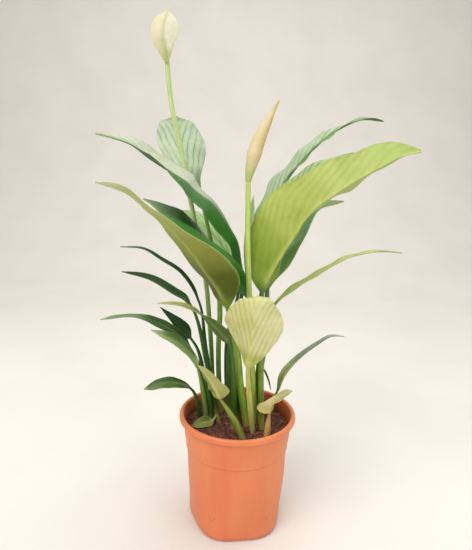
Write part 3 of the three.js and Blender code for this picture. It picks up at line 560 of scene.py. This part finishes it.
     "spine": [(-16, 4, 89), (-22, 0, 109), (-25, -2, 105), (-35, -8, 105), (-46, -10, 102)]},
    # small ones low on the right
    {"name": "leaf_22", "lean": 0, "width": 27, "neck": 1, "wave": (0.5, 3),
     "outline": (0, 1, 0.57, 0.39, 0.36, 0.33, 0.32, 0.29, 0), "fold": (38, 40), "roll": (36, 110, 71),
     "veins": (6, 2.2, 0.02, 0.5), "upper": "#dccf96", "under": "#f0dfa9", "base": "#c8bd66",
     "outer": "#c9c792", "edge": "#ece0b8", "rib": "#e6dba0", "stalk": "#d9b06c",
     "spine": [(29, -24, 89), (31, -24, 126), (32, -26, 134), (37, -28, 142), (44, -30, 148),
               (52, -30, 152)]},
    {"name": "leaf_23", "lean": 0, "width": 10, "neck": 2,
     "outline": (0, 0.85, 1, 0.85, 0.7, 0.6, 0.5, 0.35, 0), "fold": (25, 25), "roll": (-30, -30),
     "veins": (8.4, 2.2, 0.02, 0.25), "upper": "#96a595", "under": "#7f9a50", "base": "#e9f0a8",
     "baseTo": 0.5, "edge": "#b9c69c", "stalk": "#9fb060",
     "spine": [(37, 24, 89), (37, 20, 109), (42, 14, 131), (48, 10, 152), (57, 8, 166), (68, 6, 178),
               (81, 4, 189), (92, 2, 197), (106, 0, 198)]},
    {"name": "leaf_24", "lean": 0, "width": 7, "neck": 3, "outline": lance, "fold": (20, 20),
     "roll": (0, 0), "veins": (8.4, 2.2, 0.02, 0.1), "upper": "#3a6a54", "under": "#2a5a40",
     "edge": "#8fb0a0", "rib": "#b9cfc4", "stalk": "#2a5a36",
     "spine": [(27, 21, 89), (25, 20, 135), (25, 20, 149), (27, 20, 153), (32, 20, 143), (36, 20, 130)]},
]
leafForm = {"stalkStep": 5.0, "bladeStep": 1.5, "baseThick": 0.8, "tipThick": 0.7, "quiltHeight": 0.5,
            "ribSunk": 0.25, "ribProud": 0.9, "edgeWander": 0.012,                # millimetres and shares
            "veinDrift": 55.6, "patches": 22.22, "blotches": 13.33, "specks": 1.111,
            "petalBlotches": 8.333, "petalLine": 11.11}     # how long a petal's fine lines are
spineSteps = 40                        # points between two points of a spine
outlineEnd = 0.985                     # outlines are read as far as this, so a tip keeps a little width
halfBlade = np.array([0.0, 0.03, 0.075, 0.13, 0.21, 0.31, 0.42, 0.54, 0.66, 0.77, 0.86, 0.93, 0.975, 1.0])
columns = np.concatenate([-halfBlade[:0:-1], halfBlade])      # across a blade, from edge to edge


def letThrough(material, add, share, tone):          # thin living tissue lets some light through
    tree = material.node_tree
    glow = add("BsdfTranslucent", {"Color": tone})[0]
    both = add("MixShader", (share, tree.nodes["Principled BSDF"].outputs[0], glow))[0]
    tree.links.new(both, tree.nodes["Material Output"].inputs["Surface"])


# Leaf: a waxy skin over a green that light passes through, so it shines above and is duller below. The
# blade map is the distance across and along the blade, in millimetres / 100. The veins map counts the
# side veins and says how strongly they show. `lines` is how much the groove over a vein, the slope
# beside it and the finest threads darken: the threads are the veins' own colour, the darker groove and
# slope are painted shade.
def leafSkin(name, gloss, veinAndGrooveShadeTone, lightThrough, lines):
    material, tree, shader, add = newMaterial(name, gloss)
    blade = add("SeparateXYZ", (add("UVMap", uv_map="blade")[0],))
    vein = add("SeparateXYZ", (add("UVMap", uv_map="veins")[0],))
    body = add("TexCoord")["Object"]
    tint = add("VertexColor", layer_name="tint")[0]
    drift, patch, blotch, speck = (
        add("TexNoise", {"Vector": body, "Scale": patternScale(leafForm[key]), "Detail": detail,
                         "Roughness": rough})[0]
        for key, detail, rough in (("veinDrift", 2.0, 0.5), ("patches", 3.0, 0.5), ("blotches", 4.0, 0.6),
                                   ("specks", 2.0, 0.5)))
    wander = add("MapRange", (drift, 0.3, 0.7, -0.4, 0.4))[0]
    order = add("Math", (vein[0], wander), operation="ADD")[0]
    main = add("Math", (order, 0.5), operation="PINGPONG")[0]
    fine = add("Math", (order, 4.0), operation="MULTIPLY")[0]
    fine = add("Math", (fine, 0.5), operation="PINGPONG")[0]
    patchy = add("Math", (vein[1], add("MapRange", (patch, 0.35, 0.6, 0.3, 1.0))[0]), operation="MULTIPLY")[0]
    marks = []
    for value, clear, gone, strength in ((main, 0.01, 0.1, patchy), (main, 0.05, 0.45, patchy),
                                         (fine, 0.0, 0.5, vein[1])):
        share = add("MapRange", (value, clear, gone, 1.0, 0.0))[0]
        marks.append(add("Math", (share, strength), operation="MULTIPLY")[0])
    yellower = add("Mix", {0: 1.0, 6: tint, 7: rgba("#cfe0a0")}, data_type="RGBA", blend_type="MULTIPLY")[2]
    share = add("MapRange", (blotch, 0.35, 0.7, 0.0, 0.4))[0]
    colour = add("Mix", {0: share, 6: tint, 7: yellower}, data_type="RGBA")[2]
    # the vein marks darken toward this tone: the veins' own colour, and painted shade in the groove and on
    # the slope beside it
    deep = add("Mix", {0: 1.0, 6: colour, 7: rgba(veinAndGrooveShadeTone)}, data_type="RGBA", blend_type="MULTIPLY")[2]
    for mark, depth in zip(marks, lines):
        share = add("Math", (mark, depth), operation="MULTIPLY")[0]
        colour = add("Mix", {0: share, 6: colour, 7: deep}, data_type="RGBA")[2]
    tree.links.new(colour, shader.inputs["Base Color"])
    rough = add("MapRange", (speck, 0.3, 0.7, gloss - 0.06, gloss + 0.08))[0]
    tree.links.new(rough, shader.inputs["Roughness"])

    across = add("Math", (blade[0], 100.0), operation="MULTIPLY")[0]
    across = add("Math", (across,), operation="ABSOLUTE")[0]
    height = add("Math", (speck, 0.12), operation="MULTIPLY")[0]
    rib = add("MapRange", (across, 0.4, 1.3, 1.0, 0.0))[0]
    for value, depth in ((marks[0], 0.5), (marks[2], 0.3), (rib, 0.2)):
        low = add("Math", (value, depth), operation="MULTIPLY")[0]
        height = add("Math", (height, low), operation="SUBTRACT")[0]
    relief = add("Bump", {"Height": height, "Strength": 0.5, "Distance": 0.0004})[0]
    tree.links.new(relief, shader.inputs["Normal"])
    through = add("Mix", {0: 1.0, 6: colour, 7: rgba("#e6f07c")}, data_type="RGBA", blend_type="MULTIPLY")[2]
    letThrough(material, add, lightThrough, through)
    return material


# Petal, spadix and stalk: smooth waxy tissue with fine lines along it, `lineWidth` millimetres wide.
def waxySkin(name, roughness, lineTone, lightThrough, lineWidth=0.606):
    material, tree, shader, add = newMaterial(name, roughness)
    place = add("UVMap", uv_map="blade")[0]
    body = add("TexCoord")["Object"]
    tint = add("VertexColor", layer_name="tint")[0]
    drawnOut = (100 / lineWidth, 100 / leafForm["petalLine"], 1)
    place = add("Mapping", {"Vector": place, "Scale": drawnOut})[0]
    line = add("TexNoise", {"Vector": place, "Scale": 1.0, "Detail": 3.0, "Roughness": 0.6})[0]
    blotch = add("TexNoise", {"Vector": body, "Scale": patternScale(leafForm["petalBlotches"]),
                              "Detail": 4.0, "Roughness": 0.6})[0]
    colour = tint
    for value, clear, full, most, tone in ((line, 0.4, 0.7, 0.6, lineTone),
                                           (blotch, 0.45, 0.75, 0.35, "#d8e0b0")):
        share = add("MapRange", (value, clear, full, 0.0, most))[0]
        deep = add("Mix", {0: 1.0, 6: colour, 7: rgba(tone)}, data_type="RGBA", blend_type="MULTIPLY")[2]
        colour = add("Mix", {0: share, 6: colour, 7: deep}, data_type="RGBA")[2]
    tree.links.new(colour, shader.inputs["Base Color"])
    relief = add("Bump", {"Height": line, "Strength": 0.35, "Distance": 0.0004})[0]
    tree.links.new(relief, shader.inputs["Normal"])
    letThrough(material, add, lightThrough, colour)
    return material


def spineCurve(points):                # a smooth line through the points, and the distance along it
    p = [np.array(q, float) for q in points]
    dense = []
    for i in range(len(p) - 1):
        p1, p2 = p[i], p[i + 1]
        p0 = p[i - 1] if i else 2 * p1 - p2
        p3 = p[i + 2] if i + 2 < len(p) else 2 * p2 - p1
        d0, d1, d2 = (max(np.dot(b - a, b - a) ** 0.25, 1e-4) for a, b in ((p0, p1), (p1, p2), (p2, p3)))
        t1 = ((p1 - p0) / d0 - (p2 - p0) / (d0 + d1) + (p2 - p1) / d1) * d1
        t2 = ((p2 - p1) / d1 - (p3 - p1) / (d1 + d2) + (p3 - p2) / d2) * d1
        t = np.linspace(0, 1, spineSteps, endpoint=False)[:, None]
        dense.append(p1 + t1 * t + (-3 * p1 + 3 * p2 - 2 * t1 - t2) * t ** 2
                     + (2 * p1 - 2 * p2 + t1 + t2) * t ** 3)
    dense = np.concatenate([*dense, [p[-1]]])
    run = np.concatenate([[0], np.cumsum(np.linalg.norm(np.diff(dense, axis=0), axis=1))])
    return dense, run


def onCurve(curve, distance):
    dense, run = curve
    return np.stack([np.interp(distance, run, dense[:, k]) for k in range(3)], -1)


def tangents(curve, distance):
    run = curve[1]
    made = onCurve(curve, np.minimum(distance + 0.8, run[-1])) - onCurve(curve, np.maximum(distance - 0.8, 0))
    return made / np.linalg.norm(made, axis=1)[:, None]


# The tones of both faces. u runs across the blade from -1 to 1 and s along it from 0 to 1; climb
# runs from 0 at the foot of the stalk to 1 at its neck, and flat is 0 on the stalk and 1 on the blade.
def leafTones(facts, u, s, climb, flat, ribShare):
    stalkTone, pale = linear(facts["stalk"]), linear("#c3d08a")
    one = np.ones_like(u * s)
    baseTo = facts["baseTo"]
    baseShare = 1 - smoothStep(s * one, baseTo * 0.45, baseTo * 1.1)
    # a pale line along the edges: painted edge highlight
    edgeHighlightShare = smoothStep(np.abs(u), 0.9, 1.0) * one * 0.45
    tipShare = smoothStep(s * one, facts["tipFrom"], 1.0) * 0.75
    climb = climb * one
    stalk = lerp(linear("#b9ab62"), stalkTone, smoothStep(climb, 0.07, 0.22)[..., None])
    stalk = stalk * (1 + 0.12 * softNoise(u * 2.1 + climb * 0.7, int(facts["width"])))[..., None]
    shades = []
    for key in ("upper", "under"):
        tone = linear(facts[key])
        # the other half's tone: on some leaves a painted sheen, on others painted shade
        far = linear(facts.get(key + "2", facts[key]))
        shade = tone + (far - tone) * smoothStep(u * one, -0.02, 0.05)[..., None]
        if "outer" in facts:
            shade = lerp(shade, linear(facts["outer"]), smoothStep(s * one, 0.4, 0.8)[..., None])
        base = linear(facts["base"]) if "base" in facts else 0.5 * (stalkTone + tone)
        tip = linear(facts["tip"]) if "tip" in facts else lerp(tone, pale, 0.7)
        rib = linear(facts["rib"]) if "rib" in facts else lerp(tone, pale, 0.25)
        for colour, share in ((base, baseShare), (linear(facts["edge"]), edgeHighlightShare), (tip, tipShare),
                              (rib, ribShare)):
            shade = lerp(shade, colour, share[..., None])
        shades.append(lerp(stalk, shade, smoothStep(flat * one, 0, 0.8)[..., None]))
    return shades


def makeLeaf(facts, thin=1.0, top=None):             # a round stalk that opens into a blade
    facts = {**plainLeaf, **facts}
    curve = spineCurve(facts["spine"])
    total, neck = curve[1][-1], curve[1][spineSteps * facts["neck"]]
    foot = facts.get("foot", 2.2 + facts["width"] / 28)
    top = top or 1.1 + facts["width"] / 70
    stalkSteps = max(3, round(neck / leafForm["stalkStep"])) if facts["neck"] else 0
    bladeSteps = int(np.clip((total - neck) / leafForm["bladeStep"], 24, 150))
    climb = np.arange(stalkSteps) / max(stalkSteps, 1)
    share = np.concatenate([np.zeros(stalkSteps), np.linspace(0, 1, bladeSteps + 1)])
    distance = np.concatenate([neck * climb, neck + (total - neck) * share[stalkSteps:]])
    start = 1.0 if facts["neck"] else 0.3            # a piece without a stalk begins as a soft point
    thickness = np.concatenate([lerp(foot, top, smoothStep(climb, 0.5, 1)),
                                top * lerp(start, 1, smoothStep(distance[stalkSteps:] - neck, 0, 6))])
    onBlade = np.arange(len(share)) >= stalkSteps
    u, s, radius = columns[None, :], share[:, None], thickness[:, None]
    flat = np.where(onBlade, smoothStep(share, -0.02, 0.14), 0)[:, None]
    share = share * outlineEnd

    centre, tangent = onCurve(curve, distance), tangents(curve, distance)
    lean = math.radians(facts["lean"])
    side = np.array([math.sin(lean), -math.cos(lean), 0])
    side = side - tangent * (tangent @ side)[:, None]
    side /= np.linalg.norm(side, axis=1)[:, None]
    face = np.cross(side, tangent)
    roll = np.radians(along(facts["roll"], share))[:, None]
    across = side * np.cos(roll) + face * np.sin(roll)
    up = face * np.cos(roll) - side * np.sin(roll)

    fold = np.radians(along(facts["fold"], share))[:, None] * flat
    reach = facts["width"] / 2 * smoothAlong(facts["outline"], share)[:, None]
    reach = reach * (1 + leafForm["edgeWander"] * softNoise(s * 9, 3) * flat)
    angle = math.pi * (0.5 - 0.4 * u)
    roundX, roundZ = radius * np.cos(angle), radius * np.sin(angle)
    waveHeight, waveCount = facts["wave"]            # the two edges wave out of step
    ripple = np.sin(2 * math.pi * waveCount * share[:, None] + np.where(u > 0, 0, 2.1))
    wave = waveHeight * np.sqrt(reach / (facts["width"] / 2)) * u * u * ripple
    x = np.where(flat > 0, reach * u * np.cos(fold) + roundX * (1 - flat), roundX)
    z = np.where(flat > 0, reach * (np.abs(u) * np.sin(fold) - facts["curl"] * u * u) + wave, 0)

    run = (distance - neck)[:, None]                 # the blade swells between its side veins
    lateral = np.abs(u) * reach
    spacing, sweep, bend, strength = facts["veins"]
    order = (run - lateral * sweep - lateral ** 2 * bend) / spacing
    swell = np.abs(np.sin(math.pi * order)) ** 0.7
    quilt = thin * leafForm["quiltHeight"] * strength * swell * np.minimum(1, reach / 14) \
        * smoothStep(np.abs(u), 0.02, 0.25) * (1 - 0.7 * np.abs(u) ** 6) * flat
    thick = thin * lerp(leafForm["baseThick"], leafForm["tipThick"], s) / 2 * (1 - 0.55 * u ** 4)
    tilt = np.sign(u) * fold * smoothStep(np.abs(u), 0.0, 0.1)
    ribWidth = np.maximum(radius * 0.9 * (1 - 0.75 * s), 0.35)
    ridge = np.exp(-(lateral / ribWidth) ** 2)       # the midrib, sunk above and proud below
    over = lerp(roundZ, thick + quilt * 0.8 - leafForm["ribSunk"] * ridge * (1 - s), flat)
    proud = radius * (1 - 0.8 * np.sqrt(s)) * ridge * leafForm["ribProud"]
    under = lerp(roundZ, thick - quilt * 0.8 + proud, flat)

    def place(dx, dz):
        return centre[:, None] + across[:, None] * dx[..., None] + up[:, None] * dz[..., None]

    upper = place(x - np.sin(tilt) * over, z + np.cos(tilt) * over)
    lower = place(x + np.sin(tilt) * under, z - np.cos(tilt) * under)
    rings = np.concatenate([upper, lower[:, ::-1]], 1)
    count = rings.shape[1]
    piece = addMesh(facts["name"] + "_grown", rings.reshape(-1, 3), ringFaces(len(s), count))

    ribShare = np.exp(-(lateral / (ribWidth * 1.2 + 0.3)) ** 2) * (0.7 - 0.4 * s)
    shades = leafTones(facts, u, s, (distance / max(neck, 1))[:, None], flat, ribShare)
    setTint(piece, np.concatenate([shades[0], shades[1][:, ::-1]], 1).reshape(-1, 3))
    one = np.ones_like(u * s)
    bladeMap = np.stack([(lateral * np.sign(u) + roundX * (1 - flat)) / 100, run / 100 * one], -1)
    setMap(piece, np.concatenate([bladeMap, bladeMap[:, ::-1]], 1).reshape(-1, 2))
    veinMap = np.stack([order, min(strength, 1) * flat * one], -1)
    setMap(piece, np.tile(veinMap, (1, 2, 1)).reshape(-1, 2), "veins")
    number = np.arange(len(piece.data.polygons))
    row, column = number // count, number % count
    slots = np.where(row < stalkSteps, 2, np.where(column < len(columns), 0, 1))   # upper, under, stalk
    slots[-2:] = 2
    return piece, slots


def dress(piece, slots, skins):
    for skin in skins:
        piece.data.materials.append(skin)
    piece.data.polygons.foreach_set("material_index", np.asarray(slots, np.int32))


leafUpper = leafSkin("glossyLeafUpper", 0.36, "#6c8c58", 0.12, (0.7, 0.3, 0.3))   # wet-looking, grooved
leafUnder = leafSkin("dullLeafUnder", 0.5, "#b3b878", 0.22, (0.2, 0.4, 0.15))     # dull, lit through
stalkSkin = waxySkin("leafStalkSkin", 0.42, "#7f9c58", 0.06)          # smooth stalk with fine ribs
for facts in leaves:
    piece, slots = makeLeaf(facts)
    dress(piece, slots, (leafUpper, leafUnder, stalkSkin))
    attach(piece, "root")
    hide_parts(facts["name"])
print("leaves made:", len(leaves))


# Flowers, in millimetres. The spathes are the white bracts: one open, one still rolled up.
tallStalk = {"name": "flower_1_stalk", "foot": 2.6, "top": 2.3, "tone": "#cbdc9c", "footTone": "#7fa650",
             "spine": [(-22.5, 31, 89), (-28, 31, 137), (-30, 30, 175), (-33, 30, 212),
                       (-36, 30, 242), (-49, 32, 309), (-55, 33, 338), (-64, 32, 384),
                       (-72, 29, 422), (-75.5, 26, 456), (-76, 26, 466)]}
shortStalk = {"name": "flower_2_stalk", "foot": 3.0, "top": 2.2, "tone": "#c3d678", "footTone": "#a9bd50",
              "spine": [(19, 4, 89), (14, -14, 161), (11, -20, 187), (8, -33, 246), (5, -38, 296),
                        (4, -38, 349)]}
# the open spathe's right half (under) is painted lighter than its left (under2) against the shade of its fold
openSpathe = {"name": "flower_1_spathe", "lean": -90, "width": 28, "fold": (14, 14), "curl": -0.4, "neck": 0,
              "outline": (0, 0.16, 0.31, 0.43, 0.54, 0.66, 0.78, 0.87, 0.95, 0.99, 1, 1, 1, 0.94, 0.72,
                          0.16, 0), "roll": (0, 0), "veins": (9, 0.6, 0.035, 0.8),
              "upper": "#f6efdc", "under": "#fffaf2", "under2": "#efe6d2", "stalk": "#c9d98a",
              "base": "#dfe2ae", "baseTo": 0.3, "rib": "#bcc660", "tip": "#f0e9c8", "edge": "#f4edd8",
              "spine": [(-75.5, 21.4, 458), (-77, 20, 470), (-78.5, 18.5, 482), (-77, 19.5, 495),
                        (-73, 23, 507)]}
furled = {"name": "flower_2_spathe", "tone": "#eedfbb", "low": "#cbd88c", "tip": "#d9cb92",
          "paintedSunlitSide": "#e8bf6a", "radii": (2.4, 4.4, 6.6, 6, 4, 1.8, 0.6),
          "spine": [(4, -38, 346.8), (5.5, -38, 356), (8.5, -38, 369), (12.5, -38, 382), (18.5, -39, 395),
                    (24, -40, 406), (28, -41, 413)]}
spadix = {"name": "flower_1_spadix", "length": 22.0, "radius": 3.1, "tone": "#ece2b0", "knobsRound": 8,
          "knobsAlong": 2.2}


def makeTube(facts, curve, distance, radii, sides, shape, around):   # `around` is the map's width
    centre, tangent = onCurve(curve, distance), tangents(curve, distance)
    across = np.array([1.0, 0, 0]) - tangent * tangent[:, :1]
    across /= np.linalg.norm(across, axis=1)[:, None]
    up = np.cross(across, tangent)
    angle = math.pi * (1 - 2 * (np.arange(sides) + 0.5) / sides)[None, :]
    r = radii[:, None] * shape(angle, distance[:, None])
    rings = centre[:, None] + across[:, None] * (r * np.cos(angle))[..., None] \
        + up[:, None] * (r * np.sin(angle))[..., None]
    piece = addMesh(facts["name"] + "_grown", rings.reshape(-1, 3), ringFaces(len(distance), sides))
    one = np.ones((len(distance), sides))
    setMap(piece, np.stack([angle * around * one, distance[:, None] / 100 * one], -1).reshape(-1, 2))
    return piece, angle


def makeStalk(facts):
    curve = spineCurve(facts["spine"])
    distance = np.linspace(0, curve[1][-1], int(curve[1][-1] / 4))
    share = distance / distance[-1]
    ribs = lambda angle, d: 1 + 0.025 * np.cos(5 * angle + d / 60)
    piece, angle = makeTube(facts, curve, distance, lerp(facts["foot"], facts["top"], share), 20, ribs, 0.02)
    tone = lerp(linear(facts["footTone"]), linear(facts["tone"]), smoothStep(share, 0.2, 0.8)[:, None])
    setTint(piece, np.repeat(tone, angle.size, 0))
    return piece


def makeSpadix():
    x, y, z = tallStalk["spine"][-1]
    length = spadix["length"]
    curve = spineCurve([(x, y, z + 0.8), (x, y + 0.8, z + length / 2), (x + 0.5, y + 1, z + length)])
    distance = np.linspace(0, curve[1][-1], 90)
    t = distance / distance[-1]
    taper = np.sqrt(np.maximum(0.06, 1 - np.maximum(0, (t - 0.72) / 0.28) ** 2))
    radii = spadix["radius"] * taper * lerp(0.62, 1, smoothStep(t, 0, 0.2))

    def knobs(angle, d):               # two crossing waves stand up as rows of tiny flowers
        around, up = spadix["knobsRound"] * angle, spadix["knobsAlong"] * d
        return np.cos(around + up) * np.cos(around - up)

    piece, angle = makeTube(spadix, curve, distance, radii, 64, lambda a, d: 0.95 + 0.08 * knobs(a, d), 0.03)
    # painted shade: the tone darkens in the hollows between the knobs
    tone = linear(spadix["tone"]) * (0.85 + 0.15 * knobs(angle, distance[:, None])[..., None])
    setTint(piece, tone.reshape(-1, 3))
    return piece


def makeFurled():                      # rolled up like paper, its free edge winds round as a low step
    curve = spineCurve(furled["spine"])
    distance = np.linspace(0, curve[1][-1], 120)
    radii = np.interp(distance, curve[1][::spineSteps], furled["radii"])
    radii = np.convolve(np.pad(radii, 4, "edge"), np.ones(9) / 9, "valid")

    def wound(angle, d):               # runs from 0 at the free edge once round to 1
        return (angle + math.pi * 2.2 + d / 60) / (2 * math.pi) % 1

    def stepped(angle, d):
        return 0.9 + 0.13 * wound(angle, d) - 0.02 * np.exp(-(wound(angle, d) / 0.03) ** 2)

    piece, angle = makeTube(furled, curve, distance, radii, 96, stepped, 0.06)
    share = (distance / distance[-1])[:, None] * np.ones_like(angle)
    tone = lerp(linear(furled["low"]), linear(furled["tone"]), smoothStep(share, 0.02, 0.3)[..., None])
    tone = lerp(tone, linear(furled["tip"]), smoothStep(share, 0.8, 1)[..., None])
    # painted light: the right side of the roll is painted a warmer yellow, as a sunlit side
    paintedSunlitSide = 0.55 * smoothStep(np.cos(angle), -0.1, 0.9) * smoothStep(share, 0.15, 0.4)
    tone = lerp(tone, linear(furled["paintedSunlitSide"]), paintedSunlitSide[..., None])
    # painted shade: a thin dark line along the free edge's step
    tone = tone * (1 - 0.25 * np.exp(-(wound(angle, distance[:, None]) / 0.02) ** 2))[..., None]
    setTint(piece, tone.reshape(-1, 3))
    return piece


spatheSkin = waxySkin("spatheSkin", 0.5, "#dfe6c0", 0.3, 0.3704)      # soft white petal-like bract
flowerStalkSkin = waxySkin("flowerStalkSkin", 0.4, "#c4d490", 0.08)   # pale waxy stalk
spadixSkin = waxySkin("spadixSkin", 0.65, "#e6dca8", 0.05)            # dry bumpy rod of tiny flowers
blooms = [(makeLeaf(openSpathe, thin=0.9, top=2.0)[0], spatheSkin, "flower_1_spathe", "spathe"),
          (makeStalk(tallStalk), flowerStalkSkin, "flower_1_stalk", "flower_stalk"),
          (makeSpadix(), spadixSkin, "flower_1_spadix", "spadix"),
          (makeStalk(shortStalk), flowerStalkSkin, "flower_2_stalk", "flower_stalk"),
          (makeFurled(), spatheSkin, "flower_2_spathe", "spathe")]
for piece, skin, node, slotName in blooms:
    piece.data.materials.append(skin)
    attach(piece, "root")
    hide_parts(node)
print("flowers made:", len(blooms), "pieces")


# Studio, in metres: one pale sheet, three soft lamps and the camera.
studio = {"front": -1.6, "bendFrom": 0.9, "bendRadius": 0.9, "bendSteps": 12, "top": 3.0, "halfWidth": 2.6,
          "cloudSize": 200.0, "lens": 28.0, "sensor": 36.0, "eye": (-0.0047, -0.415, 0.330),
          "lookDown": 9.8, "turn": 1.3}


def makeStage():                       # a floor that curves up behind
    start, radius = studio["bendFrom"], studio["bendRadius"]
    sweep = [(studio["front"], 0.0)]
    for k in range(studio["bendSteps"] + 1):
        turn = math.radians(90 * k / studio["bendSteps"])
        sweep.append((start + radius * math.sin(turn), radius - radius * math.cos(turn)))
    sweep.append((start + radius, studio["top"]))
    points = [(x, y, z) for y, z in sweep for x in (-studio["halfWidth"], studio["halfWidth"])]
    faces = [(2 * k, 2 * k + 1, 2 * k + 3, 2 * k + 2) for k in range(len(sweep) - 1)]
    sheet = addMesh("paleFloor", np.array(points) / mm, faces)
    material, tree, shader, add = newMaterial("paleBoard", 0.75)      # matt painted board, faintly uneven
    cloud = add("TexNoise", {"Vector": add("TexCoord")["Object"], "Scale": patternScale(studio["cloudSize"]),
                             "Detail": 5.0})[0]
    share = add("MapRange", (cloud, 0.3, 0.7))[0]
    colour = add("Mix", {0: share, 6: rgba("#d9d5cf"), 7: rgba("#dfdbd6")}, data_type="RGBA")[2]
    tree.links.new(colour, shader.inputs["Base Color"])
    sheet.data.materials.append(material)


def addLight(name, place, target, size, power, colour):
    data = bpy.data.lights.new(name, "AREA")
    data.shape, data.size, data.energy, data.color = "DISK", size, power, colour
    lamp = bpy.data.objects.new(name, data)
    lamp.location = place
    lamp.rotation_euler = (Vector(target) - Vector(place)).to_track_quat("-Z", "Y").to_euler()
    bpy.context.scene.collection.objects.link(lamp)


def makeCamera():
    data = bpy.data.cameras.new("camera")
    data.lens, data.sensor_width, data.sensor_fit = studio["lens"], studio["sensor"], "AUTO"
    data.clip_start, data.clip_end = 0.01, 20.0
    camera = bpy.data.objects.new("camera", data)
    tilt = Matrix.Rotation(math.radians(90 - studio["lookDown"]), 4, "X")
    spin = Matrix.Rotation(math.radians(studio["turn"]), 4, "Z")
    camera.matrix_world = Matrix.Translation(studio["eye"]) @ tilt @ spin
    bpy.context.scene.collection.objects.link(camera)
    bpy.context.scene.camera = camera


makeStage()
addLight("windowLight", (-0.9, -1.1, 1.5), (0, 0, 0.25), 1.5, 26.0, (1.0, 0.98, 0.94))
addLight("skyPanel", (0.2, 0.25, 1.9), (0, 0, 0.2), 1.8, 24.0, (1.0, 0.99, 0.96))
addLight("fillPanel", (1.2, -1.0, 0.7), (0, 0, 0.25), 1.2, 7.0, (1.0, 1.0, 1.0))
world = bpy.data.worlds.new("softRoom")
bpy.context.scene.world = world
world.use_nodes = True
world.node_tree.nodes["Background"].inputs["Color"].default_value = rgba("#ebe9e4")
world.node_tree.nodes["Background"].inputs["Strength"].default_value = 0.55
makeCamera()
bpy.context.scene.view_settings.view_transform = "Standard"
print("studio made")
